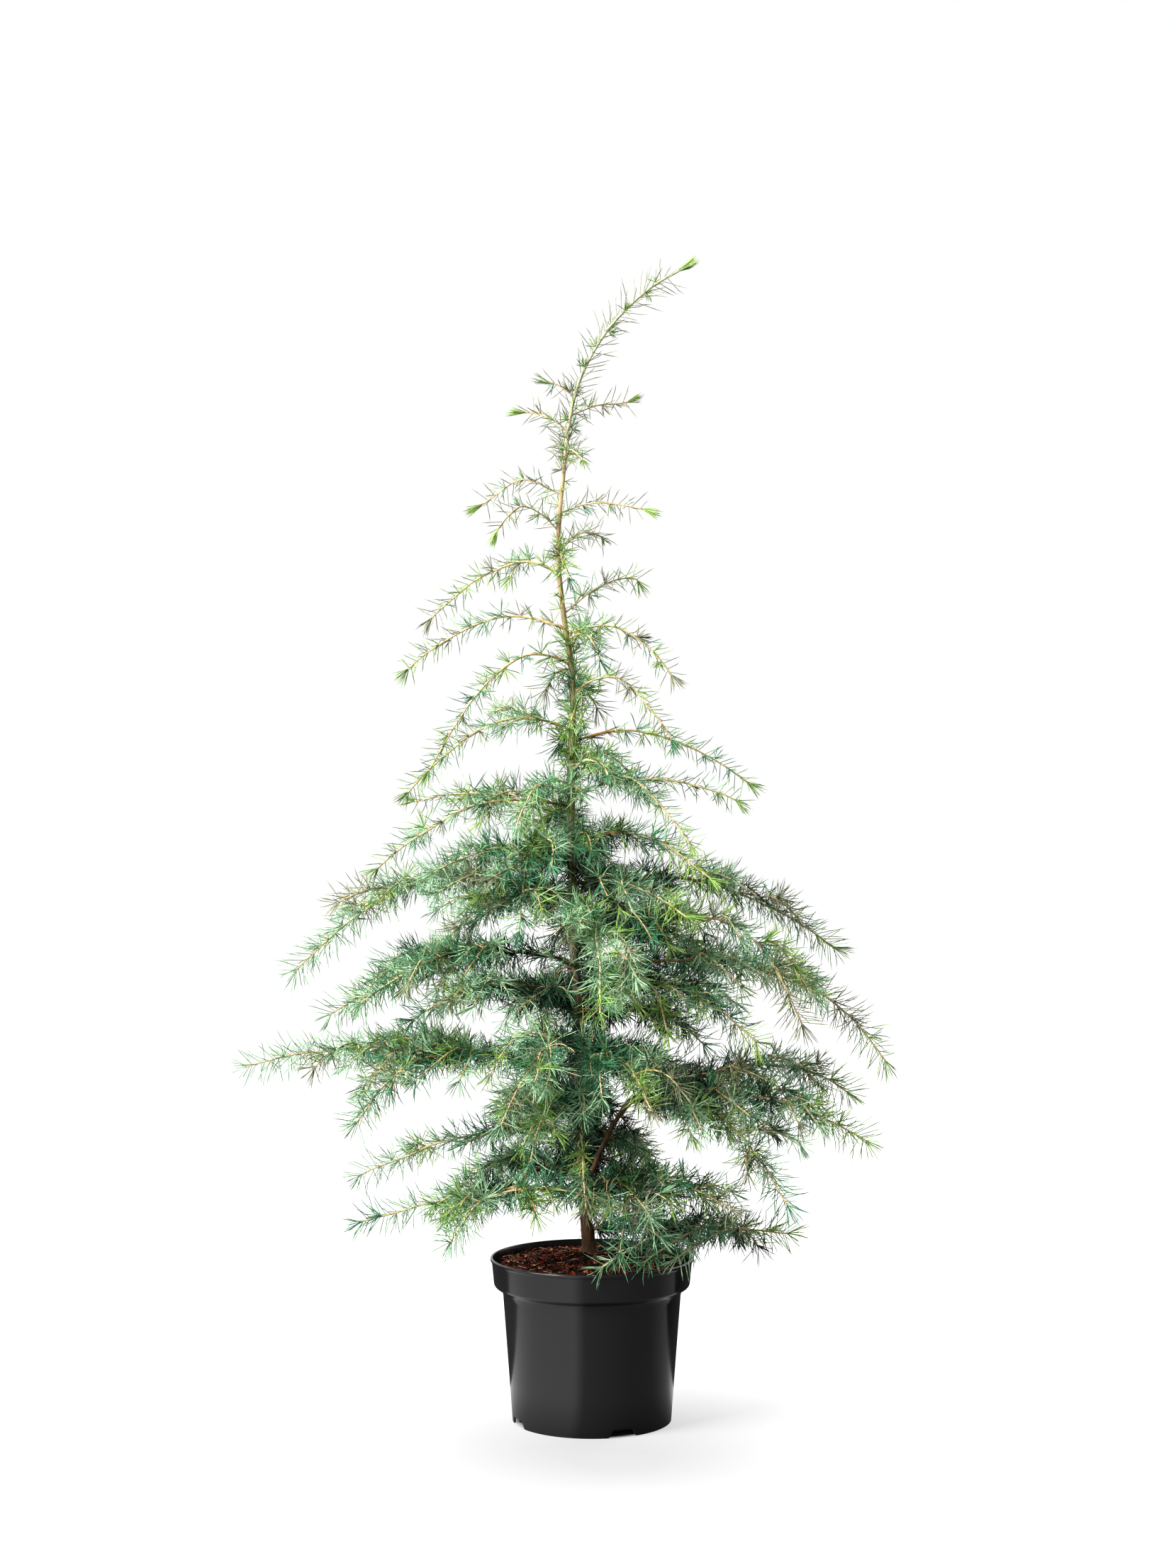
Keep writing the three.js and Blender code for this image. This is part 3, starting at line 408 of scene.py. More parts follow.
def scattered(count, inset, least, most):
    """Places strewn evenly over the compost, from an inset inside its edge, and lifted
    off it by a chance height between least and most."""
    azimuth = draw.uniform(0, 2 * np.pi, count)
    place = polar((COMPOST_EDGE - inset) * np.sqrt(draw.random(count)), azimuth, 0)
    place[:, 2] = compost_height(place) + draw.uniform(least, most, count)
    return place


CHIP_CORNERS = np.array([[x, y, z] for z in (-1, 1) for y in (-1, 1) for x in (-1, 1)]) / 2
CHIP_FACES = np.array(
    [
        (0, 2, 3), (0, 3, 1), (4, 5, 7), (4, 7, 6), (0, 1, 5), (0, 5, 4),
        (2, 6, 7), (2, 7, 3), (0, 4, 6), (0, 6, 2), (1, 3, 7), (1, 7, 5),
    ]
)  # fmt: skip


def bark_chips(count, shortest, longest):
    """Split blocks: a cube's corners, drawn out to a chip's length, width and
    thickness, each corner shaken, turned at random and laid on the compost."""
    length = shortest + (longest - shortest) * draw.random(count) ** 2.2
    size = np.stack([length, length * draw.uniform(0.3, 0.6, count), 0.5 + 0.12 * length], -1)
    corners = CHIP_CORNERS * size[:, None] * draw.uniform(0.6, 1.25, (count, 8, 3))
    corners = np.einsum("nci,nij->ncj", corners, random_turns(count, 0.75))
    points = corners + scattered(count, 3, -0.3, 1.0)[:, None]
    return points.reshape(-1, 3), copied(CHIP_FACES, count, 8)


for kind, (color, count, shortest, longest) in CHIP_KINDS.items():
    chips = bark_chips(count, shortest, longest)
    dark = darker(color, tenths=2)
    skin = mottled(f"chip_{kind}", dark, color, 500, 0.85, relief=0.5, specular=0.1)
    add_piece(f"chips_{kind}", *chips, skin, "compost", "soil", smooth=False)


def fibres(count, shortest, longest):
    """Bent three-sided threads: five rings along an arc that lies on the compost, its
    ends lifted by a chance amount, each ring a triangle of FIBRE_RADIUS, and a closing
    triangle at either end."""
    length = draw.uniform(shortest, longest, count)[:, None]
    t = np.linspace(-1, 1, 5)
    frames = random_turns(count, 0.25)
    bow = draw.uniform(-0.25, 0.25, count)[:, None] * length * (1 - t**2)
    line = scattered(count, 6, 0.6, 2.2)[:, None]
    line = line + frames[:, None, 0] * (length * t / 2)[..., None]
    line = line + frames[:, None, 1] * bow[..., None]
    arms = spun(frames[:, 1, None], frames[:, 2, None], around(3)[:, None])
    points = line[:, :, None] + FIBRE_RADIUS * arms[:, None]
    faces = np.concatenate([ring_faces(5, 3), [(0, 2, 1), (12, 13, 14)]])
    return points.reshape(-1, 3), copied(faces, count, 15)


for kind, (color, count, shortest, longest) in FIBRE_KINDS.items():
    threads = fibres(count, shortest, longest)
    skin = mottled(f"fibre_{kind}", darker(color, tenths=6), color, 300, 0.8, relief=0.2)
    add_piece(f"fibres_{kind}", *threads, skin, "compost", "soil")

# --------------------------------------------------- how the tree is branched
# One leading stem that nods at its tip, and limbs all round it, longest near the
# ground, each an arch that droops at its end. Forks leave the limbs low down, side
# shoots leave limbs and forks by turns to either hand, and fine shoots leave those.

TRUNK_LINE = np.array(
    [
        (*TRUNK_FOOT, 210), (-9, 6, 273), (-15, 4, 410), (-18, 6, 520), (-25, 5, 650),
        (-26, 2, 820), (-25, 0, 950), (-37, -2, 1035), (-43, -3, 1110), (-37, -1, 1200),
        (-20, 0, 1315), (18, 2, 1390), (72, 4, 1445), (112, 5, 1470),
    ]
)  # fmt: skip
LIMBS = np.array(
    [  # height on the trunk, azimuth, reach, crest's rise, tip's rise, crest's share
        (242, 345, 262, 6, 6, 0.35), (283, 187, 285, 12, -26, 0.25),
        (300, 292, 215, 14, -10, 0.4), (302, 122, 300, 12, -25, 0.35),
        (330, 74, 318, 12, -42, 0.35), (358, 158, 318, 8, -66, 0.2), (287, 340, 372, 16, 84, 0.5),
        (396, 272, 200, 12, -95, 0.35), (388, 106, 330, 14, -45, 0.4),
        (438, 182, 425, 38, 14, 0.6), (432, 52, 300, 18, -64, 0.35),
        (462, 290, 256, 12, -40, 0.3), (505, 34, 200, 14, -38, 0.45),
        (522, 99, 322, 22, -80, 0.35), (536, 206, 228, 22, -18, 0.5),
        (560, 350, 394, 24, -95, 0.3), (546, 324, 272, 18, -50, 0.36),
        (582, 176, 318, 16, -68, 0.31), (606, 50, 290, 22, -70, 0.35),
        (636, 277, 274, 18, -94, 0.34), (632, 335, 312, 14, -117, 0.5),
        (652, 127, 300, 16, -60, 0.35), (668, 184, 353, 26, -95, 0.45),
        (672, 12, 351, 20, -75, 0.38), (684, 311, 214, 8, -34, 0.35),
        (704, 76, 240, 20, -55, 0.4), (712, 204, 190, 18, -12, 0.5),
        (735, 331, 200, 17, -42, 0.4), (758, 106, 210, 18, -45, 0.4),
        (782, 190, 249, 10, -77, 0.35), (794, 250, 190, 16, -34, 0.6),
        (798, 349, 214, 22, -8, 0.5), (830, 287, 155, 12, -7, 0.4), (838, 60, 190, 18, -40, 0.4),
        (865, 8, 230, 16, -52, 0.33), (880, 178, 212, 18, -80, 0.33),
        (926, 335, 138, 22, -60, 0.38), (932, 86, 160, 18, -35, 0.4),
        (962, 203, 194, 15, -134, 0.26), (984, 76, 130, 36, 30, 0.85),
        (1004, 350, 136, 11, -55, 0.36), (1010, 186, 202, 16, -53, 0.35),
        (1030, 38, 124, 50, 46, 0.95), (1080, 171, 168, 18, -56, 0.3),
        (1090, 277, 116, 12, -25, 0.4), (1110, 62, 122, 30, 26, 0.8),
        (1134, 214, 92, 28, -3, 0.6), (1158, 350, 108, 12, 3, 0.45),
        (1182, 184, 102, 16, -14, 0.5), (1228, 286, 82, 8, -12, 0.4), (1240, 95, 80, 14, 2, 0.5),
        (1257, 166, 56, 32, 32, 0.9), (1282, 18, 78, 20, 22, 0.7), (1308, 190, 34, 16, 16, 0.9),
    ]
)  # fmt: skip
FALL = 1.7  # the power by which a branch falls past its crest
STEEP_FALLS = {16: 3.4, 17: 2.4, 21: 3}  # limb and power, where the limb falls steeply
BARE_SHARES = {10: 0.28, 16: 0.2, 18: 0.2, 20: 0.2, 23: 0.2, 24: 0.2}  # limb and share
FORKS = np.array(
    [  # limb, share along it, then the tip from the trunk as above: azimuth to share
        (2, 0.3, 214, 220, 12, 10, 0.5), (2, 0.34, 232, 262, 4, -22, 0.4),
        (3, 0.12, 322, 232, 12, -10, 0.4), (7, 0.05, 0, 338, 44, 130, 0.7),
        (7, 0.06, 317, 332, 4, 22, 0.3), (8, 0.14, 252, 195, 18, -42, 0.5),
        (10, 0.3, 203, 300, 2, -46, 0.4), (10, 0.32, 170, 255, 18, 42, 0.6),
        (12, 0.1, 245, 222, 26, -62, 0.4), (17, 0.16, 303, 205, 14, -36, 0.6),
        (18, 0.22, 197, 280, 2, -44, 0.3), (27, 0.16, 240, 130, 14, -84, 0.4),
        (30, 0.12, 163, 214, 14, 8, 0.5), (32, 0.16, 323, 184, 10, -60, 0.3),
        (36, 0.14, 125, 180, 20, 30, 0.8), (44, 0.2, 128, 105, 8, 4, 0.5),
    ]
)  # fmt: skip
SIDE_BOUGH = (287, 352, 58, 137, 118, 1.6)  # as for limbs: the steep bough with limb 7
SIDE_BOUGH_LIMB = 7
LEADER_FROM = 1207
TRUNK_POINTS = 801
LIMB_POINTS = 65
SIDE_POINTS = 17
FINE_POINTS = 9
LIMB_BOW = 0.1
LIMB_WANDER = 3.2
LONGEST_LIMB = 450
LIMB_FOOT_RADIUS = 3.4
LIMB_TIP_RADIUS = 1.0
SIDE_SHOOTS = (33, 44, 125, 24)  # spacing, spread in degrees, longest, shortest
SIDES_TO = 0.72
LUSH_BELOW = 960
LUSH_FADE = 340
FINE_SHOOTS = (21, 50, 38, 14)  # the same, for the shoots on side shoots
FINES_TO = 0.4
FINES_BELOW = 760
TRUNK_SHOOTS = (440, 1010, 30)  # from, to, spacing
FOOT_SHOOTS = (262, 440, 14)  # the same, where the trunk's foot has shoots
FOOT_SHOOTS_TURN = 115  # they point from azimuth 0, the right, to this one, behind
GOLDEN_TURN = 137.5
SHORTEST_SHOOT = 34
SHOOT_SPREAD = 46
THIN_SIDE = (188, 60, 420, 0.85)  # azimuth, spread, height below which, share missing
BOUGH_CLEAR = 9
LIP_SHOOTS = np.array(
    [  # limb or, past the limbs, fork, share along it, the tip's place, the crest's rise
        (1, 0.56, 11, -125, 216, 7), (1, 0.68, 62, -126, 222, 9), (1, 0.8, 104, -112, 226, 6),
        (3, 0.75, 34, -140, 236, 6), (56, 0.35, 84, -150, 258, 12),
    ]
)  # fmt: skip


def compass(azimuth):
    """Level unit vectors at azimuths in degrees, 0 along +X and 90 along +Y."""
    return polar(1, np.radians(azimuth), 0)


def chance(limb, k, salt):
    """A repeatable number from 0 to 1 for shoot k of a limb, anew for each salt."""
    return hashed(limb * HASH_WAYS[0] + k * HASH_WAYS[1] + salt * HASH_WAYS[2])


def spline(stations, count):
    """A centripetal Catmull-Rom curve through stations, as a count of points even in
    its parameter. Each span is the cubic whose end slopes come from the stations on
    either side, weighted by the square roots of their distances."""
    ends = 2 * stations[[0, -1]] - stations[[1, -2]]
    knots = np.vstack([ends[:1], stations, ends[1:]])
    gap = np.linalg.norm(np.diff(knots, axis=0), axis=1)[:, None] ** 0.5
    t = np.linspace(0, len(stations) - 1, count)
    k = np.minimum(t.astype(int), len(stations) - 2)
    s = (t - k)[:, None]
    p, a, b, q = knots[k], knots[k + 1], knots[k + 2], knots[k + 3]
    g, h, j = gap[k], gap[k + 1], gap[k + 2]
    first = ((a - p) / g - (b - p) / (g + h) + (b - a) / h) * h
    last = ((b - a) / h - (q - a) / (h + j) + (q - b) / j) * h
    ease = 3 * s**2 - 2 * s**3
    return a * (1 - ease) + b * ease + first * (s**3 - 2 * s**2 + s) + last * (s**3 - s**2)


def even(lines, count, start=0.0):
    """Lines (n, m, 3) redrawn from a share of their length to their ends, with a count
    of points evenly spaced by length."""
    step = np.linalg.norm(np.diff(lines, axis=1), axis=2)
    run = np.concatenate([np.zeros((len(lines), 1)), np.cumsum(step, 1)], 1)
    start = np.broadcast_to(start, len(lines))[:, None]
    want = run[:, -1:] * (start + (1 - start) * np.linspace(0, 1, count))
    after = (run[:, None] <= want[..., None]).sum(2).clip(1, lines.shape[1] - 1)
    row = np.arange(len(lines))[:, None]
    low, high = run[row, after - 1], run[row, after]
    share = ((want - low) / (high - low))[..., None]
    return lines[row, after - 1] * (1 - share) + lines[row, after] * share


def at(lines, owner, share):
    """Points and unit tangents on evenly spaced lines: line number owner, at a share
    of its length, blended between the two points on either side."""
    step = np.clip(share, 0, 1) * (lines.shape[1] - 1)
    k = np.minimum(step.astype(int), lines.shape[1] - 2)
    a, b = lines[owner, k], lines[owner, k + 1]
    return a + (b - a) * (step - k)[:, None], unit(b - a)


def length_of(lines):
    """The lengths of lines (n, m, 3)."""
    return np.linalg.norm(np.diff(lines, axis=1), axis=2).sum(1)


def arches(roots, tips, rise, crest, bow, fall=FALL):
    """Lines (n, LIMB_POINTS, 3) from roots to tips. In plan each is straight but for a
    bow of a sine, and its height is a parabola up to its rise at the crest's share,
    then a fall of a given power down to the tip."""
    t = np.linspace(0, 1, LIMB_POINTS)
    plan = (tips - roots) * (1, 1, 0)
    across = np.stack([-plan[:, 1], plan[:, 0], 0 * plan[:, 0]], -1) * np.reshape(bow, (-1, 1))
    rise, crest, fall = (np.reshape(value, (-1, 1)) for value in (rise, crest, fall))
    drop = (tips - roots)[:, 2:]
    up = rise * (1 - (1 - t / crest) ** 2)
    down = rise - (rise - drop) * (np.maximum(t - crest, 0) / np.abs(1 - crest)) ** fall
    height = np.where(t <= crest, up, down)
    lines = roots[:, None] + plan[:, None] * t[:, None]
    lines += across[:, None] * np.sin(np.pi * t)[:, None]
    lines[..., 2] += height
    return lines


trunk = even(spline(TRUNK_LINE, 2001)[None], TRUNK_POINTS)[0]
trunk_length = length_of(trunk[None])[0]


def on_trunk(height):
    """The trunk line's points at heights."""
    return np.stack([np.interp(height, trunk[:, 2], trunk[:, i]) for i in range(3)], -1)


def trunk_radius(share):
    """A taper from 8.2 at the ground to 1.6 at the tip, and a flare of 4.5 that dies
    away over the lowest 9 mm."""
    return 1.6 + 6.6 * (1 - share) ** 1.4 + 4.5 * np.exp(-share * trunk_length / 9)


# Stems: every limb from the middle of the trunk, or from the side bough's end.
number = np.arange(1, len(LIMBS) + 1)
roots = on_trunk(LIMBS[:, 0])
tips = roots + compass(LIMBS[:, 1]) * LIMBS[:, 2:3] + LIMBS[:, 4:5] * (0, 0, 1)
height, azimuth, reach, rise, drop, crest = SIDE_BOUGH
bough_root = on_trunk(np.array([height]))
bough_tip = bough_root + compass(np.array([azimuth])) * reach + (0, 0, drop)
side_bough = arches(bough_root, bough_tip, rise, crest, 0.0)
trunk_roots = roots.copy()
roots[SIDE_BOUGH_LIMB - 1] = bough_tip[0]
bow = LIMB_BOW * (chance(number, 0, 1) - 0.5) * (number != SIDE_BOUGH_LIMB)
fall = [STEEP_FALLS.get(limb, FALL) for limb in number]
stems = even(arches(roots, tips, LIMBS[:, 3], LIMBS[:, 5], bow, fall), LIMB_POINTS)

# Forks leave their limbs for tips that are counted from the trunk too.
parent = FORKS[:, 0].astype(int) - 1
fork_roots = at(stems, parent, FORKS[:, 1])[0]
fork_tips = trunk_roots[parent] + compass(FORKS[:, 2]) * FORKS[:, 3:4] + FORKS[:, 5:6] * (0, 0, 1)
bow = LIMB_BOW * (chance(parent + 1, 9, 1) - 0.5)
forks = even(arches(fork_roots, fork_tips, FORKS[:, 4], FORKS[:, 6], bow), LIMB_POINTS)

limbs = np.concatenate([stems, forks])
freedom = np.sin(np.pi * np.linspace(0, 1, LIMB_POINTS)) ** 0.5
wander = np.stack([grain(limbs, 42, seed) for seed in (70, 71, 72)], -1) * freedom[:, None]
limbs = limbs + LIMB_WANDER * wander
limb_number = np.concatenate([number, parent + 1])
limb_reach = np.concatenate([LIMBS[:, 2], FORKS[:, 3]])
limb_start = np.array([BARE_SHARES.get(limb, 0) for limb in number] + [0] * len(FORKS))
limb_foot = LIMB_FOOT_RADIUS * (limb_reach / LONGEST_LIMB) ** 0.8
limb_foot[len(stems) :] *= 0.8


def fullness(lines):
    """How well each limb is clothed: 1, or less low down on the thin side. The share
    that is missing there fades with the turn from its azimuth and with height."""
    azimuth, spread, below, missing = THIN_SIDE
    way = lines[:, -1] - lines[:, 0]
    turn = np.degrees(np.arctan2(way[:, 1], way[:, 0])) - azimuth
    near = np.clip(1.4 - np.abs((turn + 180) % 360 - 180) / spread, 0, 1)
    return 1 - missing * near * np.clip((below - lines[:, 0, 2]) / 50, 0, 1)


limb_fullness = fullness(limbs)


def limb_radius(foot, share):
    """A limb's radius falls from its foot to its tip with the 0.7th power of the
    share along it."""
    return foot + (LIMB_TIP_RADIUS - foot) * share**0.7


def numbered(count):
    """For counts of things on each of many owners, the owner of each thing, and its
    number among those of the same owner, from 0."""
    owner = np.repeat(np.arange(len(count)), count)
    return owner, np.arange(len(owner)) - np.repeat(np.cumsum(count) - count, count)


def side_shoots(lines, numbers, starts, spacing, spread, longest, least):
    """Shoots that leave lines by turns to either hand. Each takes a chance place in
    its own stretch of the line, shrinks towards the line's tip, turns from its heading
    by the spread or so in degrees, and hangs by a chance share of its length."""
    starts = np.maximum(starts, 0.03)
    span = length_of(lines) * (1 - starts)
    count = np.floor(span / spacing).astype(int)
    owner, k = numbered(count)
    limb = numbers[owner]
    along = (k + 0.6 + 0.5 * chance(limb, k, 2)) / (count[owner] + 0.5)
    place = starts[owner] + (1 - starts[owner]) * along
    most = np.minimum(longest, 0.36 * span + 30)[owner]
    length = most * (1 - along) ** 0.6 * (0.7 + 0.5 * chance(limb, k, 3))
    length *= np.where(k % 2 == 0, 1, 0.82)
    hand = np.where(np.isin(k % 4, (0, 3)), 1, -1)
    root, ahead = at(lines, owner, place)
    heading = np.degrees(np.arctan2(ahead[:, 1], ahead[:, 0]))
    way = compass(heading + hand * (spread + 22 * (chance(limb, k, 4) - 0.5)))
    least_hang = np.where(k % 2 == 0, 0.1, 0.25)
    hang = length * (least_hang + (0.55 - least_hang) * chance(limb, k, 6) ** 2)
    out = np.sqrt(np.maximum(length**2 - hang**2, 0.2 * length**2))
    tip = root + way * out[:, None] - hang[:, None] * (0, 0, 1)
    keep = length > least
    line = arches(root, tip, 0.1 * length, 0.35, 0.12 * hand)[keep]
    return line, owner[keep], place[keep]


def picked(chosen, *arrays):
    """The chosen rows of several arrays."""
    return [array[chosen] for array in arrays]


sides, side_owner, side_place = side_shoots(limbs, limb_number, limb_start, *SIDE_SHOOTS)
sides = even(sides, SIDE_POINTS)

# High up they shorten and thin out, most of all near their limbs' ends.
lush = np.clip((LUSH_BELOW - sides[:, 0, 2]) / LUSH_FADE, 0, 1)
thick = lush**0.7 * limb_fullness[side_owner] - 0.9 * side_place * (1 - lush)
kept = (chance(side_owner, np.arange(len(sides)), 8) < thick) & (side_place < SIDES_TO)
sides, side_owner, side_place, lush = picked(kept, sides, side_owner, side_place, lush)
sides = sides[:, :1] + (sides - sides[:, :1]) * (0.55 + 0.45 * lush)[:, None, None]

# A few long shoots hang over the lip of the pot.
lip_owner = LIP_SHOOTS[:, 0].astype(int) - 1
lip_roots = at(limbs, lip_owner, LIP_SHOOTS[:, 1])[0]
lip_lines = arches(lip_roots, LIP_SHOOTS[:, 2:5], LIP_SHOOTS[:, 5], 0.3, 0.08)

# Short shoots stand all round the middle of the trunk, and at its foot only behind
# and on the right.
shoot_heights = np.concatenate([np.arange(*TRUNK_SHOOTS), np.arange(*FOOT_SHOOTS)])
k = np.arange(len(shoot_heights))
shoot_roots = on_trunk(shoot_heights + 0.6 * TRUNK_SHOOTS[2] * chance(k, 3, 5))
shoot_length = SHORTEST_SHOOT + SHOOT_SPREAD * chance(k, 4, 5)
at_foot = shoot_heights < TRUNK_SHOOTS[0]
shoot_turns = np.where(at_foot, FOOT_SHOOTS_TURN * chance(k, 7, 5), GOLDEN_TURN * k)
shoot_ways = compass(shoot_turns) - (0.2 + 0.5 * chance(k, 5, 5))[:, None] * (0, 0, 1)
shoot_tips = shoot_roots + unit(shoot_ways) * shoot_length[:, None]
shoot_lines = arches(shoot_roots, shoot_tips, 0.12 * shoot_length, 0.4, 0.1)

sides = np.concatenate([sides, even(lip_lines, SIDE_POINTS), even(shoot_lines, SIDE_POINTS)])
side_owner = np.concatenate([side_owner, lip_owner, 0 * k])
side_place = np.concatenate([side_place, LIP_SHOOTS[:, 1], 0 * k + 0.1])


def hides_bough(points):
    """Whether points stand close before the steep bare bough, which grew in the light:
    within BOUGH_CLEAR of its line across and up, and on its front side."""
    line = side_bough[0, 16:]
    apart = np.linalg.norm(points[:, None, ::2] - line[:, ::2], axis=2)
    near = apart.argmin(1)
    return (apart.min(1) < BOUGH_CLEAR) & (points[:, 1] < line[near, 1] - 2)


# Nothing hangs down just before the steep bough.
kept = hides_bough(sides.reshape(-1, 3)).reshape(sides.shape[:2]).mean(1) < 0.2
sides, side_owner, side_place = picked(kept, sides, side_owner, side_place)

# Fine shoots stand on the inner part of the lower side shoots.
fine_number = limb_number[side_owner] + 60 + np.arange(len(sides)) * 3
fines, fine_owner, fine_place = side_shoots(sides, fine_number, 0 * side_place, *FINE_SHOOTS)
fines = even(fines, FINE_POINTS)
kept = (fine_place < FINES_TO) & (fines[:, 0, 2] < FINES_BELOW)
fines, fine_owner = picked(kept, fines, fine_owner)

# ------------------------------------------------------- the trunk and boughs
# The living stem, olive to grey-brown and finely furrowed at its foot, smoother and
# paler as it rises, and cream-green in this year's nodding leader. Boughs swell
# where they join it, and one steep bough ends in a stub where it was pruned.

TRUNK_SIDES = 36
TRUNK_RINGS = 900
BOUGH_SIDES = 16
BOUGH_RINGS = 70
BOUGH_POINTS = 400
COLLAR_HEIGHT = 9
BARK_TONES = (  # share of the height, and the darker and lighter colour there
    (0.12, "28170d", "6b4b30"), (0.3, "4a3c29", "a39272"), (0.6, "4e4629", "978a5a"),
    (0.73, "866a49", "c6a97f"), (0.88, "929870", "c4c8a5"),
)  # fmt: skip


def tubes(lines, radii, sides, upright=False):
    """Rings (n, m, sides, 3) round lines, at radii (n, m). Each ring's first arm lies
    level, or as near to +Y as it can on lines that stand upright."""
    along = unit(np.gradient(lines, axis=1))
    level = np.cross((0, 0, 1), along)
    if upright:
        level = (0, 1, 0) - along * along[..., 1:2]
    arm = unit(level)
    lift = np.cross(along, arm)
    ring = spun(arm[..., None, :], lift[..., None, :], around(sides)[:, None])
    return lines[..., None, :] + radii[..., None, None] * ring


def furrowed(rings, line, depth, seed):
    """Rings pushed out along their arms by bark relief: long furrows, plates between
    them and small pimples."""
    arm = rings - line[..., None, :]
    stretched = rings * (1, 1, 0.16)
    relief = grain(stretched, 1.9, seed) + 0.6 * grain(stretched, 5.1, seed + 3)
    relief += 0.5 * grain(rings, 2.3, seed + 7)
    return rings + unit(arm) * (relief * depth)[..., None]


def trunk_bark():
    """The trunk as rings from the compost to its tip, swollen by a collar on the side
    of every limb: a bell over its height, times the closeness of the azimuth."""
    line = even(trunk[None], TRUNK_RINGS)
    share = np.linspace(0, 1, TRUNK_RINGS)
    rings = tubes(line, trunk_radius(share)[None], TRUNK_SIDES, upright=True)
    arm = unit(rings - line[..., None, :])
    swell = np.zeros(rings.shape[:3])
    for height, azimuth, reach in LIMBS[:, :3]:
        bell = np.exp(-(((line[..., 2] - height + 3) / COLLAR_HEIGHT) ** 2))[..., None]
        swell += 0.004 * reach * bell * np.clip(arm @ compass(azimuth), 0, 1) ** 2
    wobble = 0.35 * grain(rings, 26, 11) * np.clip(1 - share * 1.2, 0, 1)[None, :, None]
    depth = 0.42 * np.clip(1 - share * 1.25, 0.05, 1)[None, :, None]
    return closed(furrowed(rings + arm * (swell + wobble)[..., None], line, depth, 21))


def bough_bark():
    """The bare boughs from inside the trunk to where their foliage starts, and the
    steep one, each furrowed finely."""
    bare = limb_start > 0
    count = (limb_start[bare] * (BOUGH_POINTS - 1)).astype(int) + 2
    feet = [line[None, :k] for line, k in zip(even(limbs[bare], BOUGH_POINTS), count)]
    lines = np.concatenate([even(line, BOUGH_RINGS) for line in feet + [side_bough]])
    share = np.linspace(0, 1, BOUGH_RINGS)
    foot = np.append(limb_foot[bare], 3.9)[:, None]
    reach = np.append(limb_start[bare], 0.25)[:, None]
    radii = limb_radius(foot, share * reach) + 0.7 * np.exp(-share * 14)
    return closed(furrowed(tubes(lines, radii, BOUGH_SIDES), lines, 0.2, 40))


def stub_bark():
    """The stub where the steep bough was pruned: its line carried on past its crown,
    with a bell-shaped swelling 2 mm past it, and cut square."""
    end = side_bough[:, -1:]
    past = np.linspace(-14, 9, 30)
    line = end + unit(end - side_bough[:, -6:-5]) * past[:, None]
    radii = 3.7 + 0.5 * np.exp(-(((past - 2) / 5) ** 2))
    return closed(furrowed(tubes(line, radii[None], BOUGH_SIDES), line, 0.25, 50))


def joined(parts):
    """Several (points, triangles) made one."""
    first = np.cumsum([0] + [len(points) for points, _ in parts[:-1]])
    points = np.concatenate([points for points, _ in parts])
    return points, np.concatenate([faces + step for (_, faces), step in zip(parts, first)])


def ramp(tree, share, stops):
    """A colour that passes through stops, each a share and a colour."""
    color = put(tree, "ValToRGB", {0: share})
    made = color.node.color_ramp.elements
    while len(made) < len(stops):
        made.new(0.5)
    for stop, (where, tone) in zip(made, stops):
        stop.position = where
        stop.color = tone
    return color


def living_bark():
    """Bark whose colour changes with height: dark brown and streaked at the foot,
    grey-brown, olive, tan, then cream-green where the leader is this year's."""
    material, tree, shader = new_material("living_bark", 0.72, 0.3)
    place = put(tree, "TexCoord", {}, "Object")
    stretched = put(tree, "Mapping", {"Vector": place, "Scale": (1, 1, 0.12)})
    streaks = noise(tree, stretched, 330, 4)
    relief = put(tree, "Mix", {0: 0.45, 2: streaks, 3: noise(tree, place, 46, 3)})
    high = ranged(tree, put(tree, "SeparateXYZ", {0: place}, 2), 0.2, 1.5)
    dark = ramp(tree, high, [(share, paint(code)) for share, code, _ in BARK_TONES])
    light = ramp(tree, high, [(share, paint(code)) for share, _, code in BARK_TONES])
    color = blended(tree, ranged(tree, relief, 0.35, 0.66), dark, light)
    wire(shader, {"Base Color": color, "Normal": bumped(tree, relief, 0.5)})
    return material


bark_nodes = [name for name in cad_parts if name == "trunk" or name.startswith("bough_")]
bark = joined([trunk_bark(), bough_bark(), stub_bark()])
add_piece("bark", *bark, living_bark(), "bark", *bark_nodes)

# ------------------------------------------------------------------- the twigs
# Limbs past their bare foot, and every shoot on them: ripened brown wood nearest the
# trunk, tan wood of last year, and this year's straw-coloured shoots at the ends.

LIMB_SIDES = 8
LIMB_RINGS = 97
STRETCH_RINGS = 33
SHOOT_SIDES = 5
SIDE_RADII = (1.35, 0.85)
FINE_RADII = (0.85, 0.55)
SIDE_YOUNGER = 0.3
FINE_YOUNGER = 0.1
WOOD_KINDS = {  # dark and light colour, and the age where it ends
    "ripe": ("452c19", "85592f", 0.26),
    "tan": ("87602f", "c49556", 0.5),
    "straw": ("a68957", "dcc594", 9),
}
YOUNG_FROM = 650
YOUNG_FADE = 400
YOUNG_HEAD_START = 0.5


def age_shift(height):
    """How far ahead a shoot's wood is in its colours, by the height that it springs
    from: nothing low down, and half of the way high up."""
    return YOUNG_HEAD_START * np.clip((height - YOUNG_FROM) / YOUNG_FADE, 0, 1)


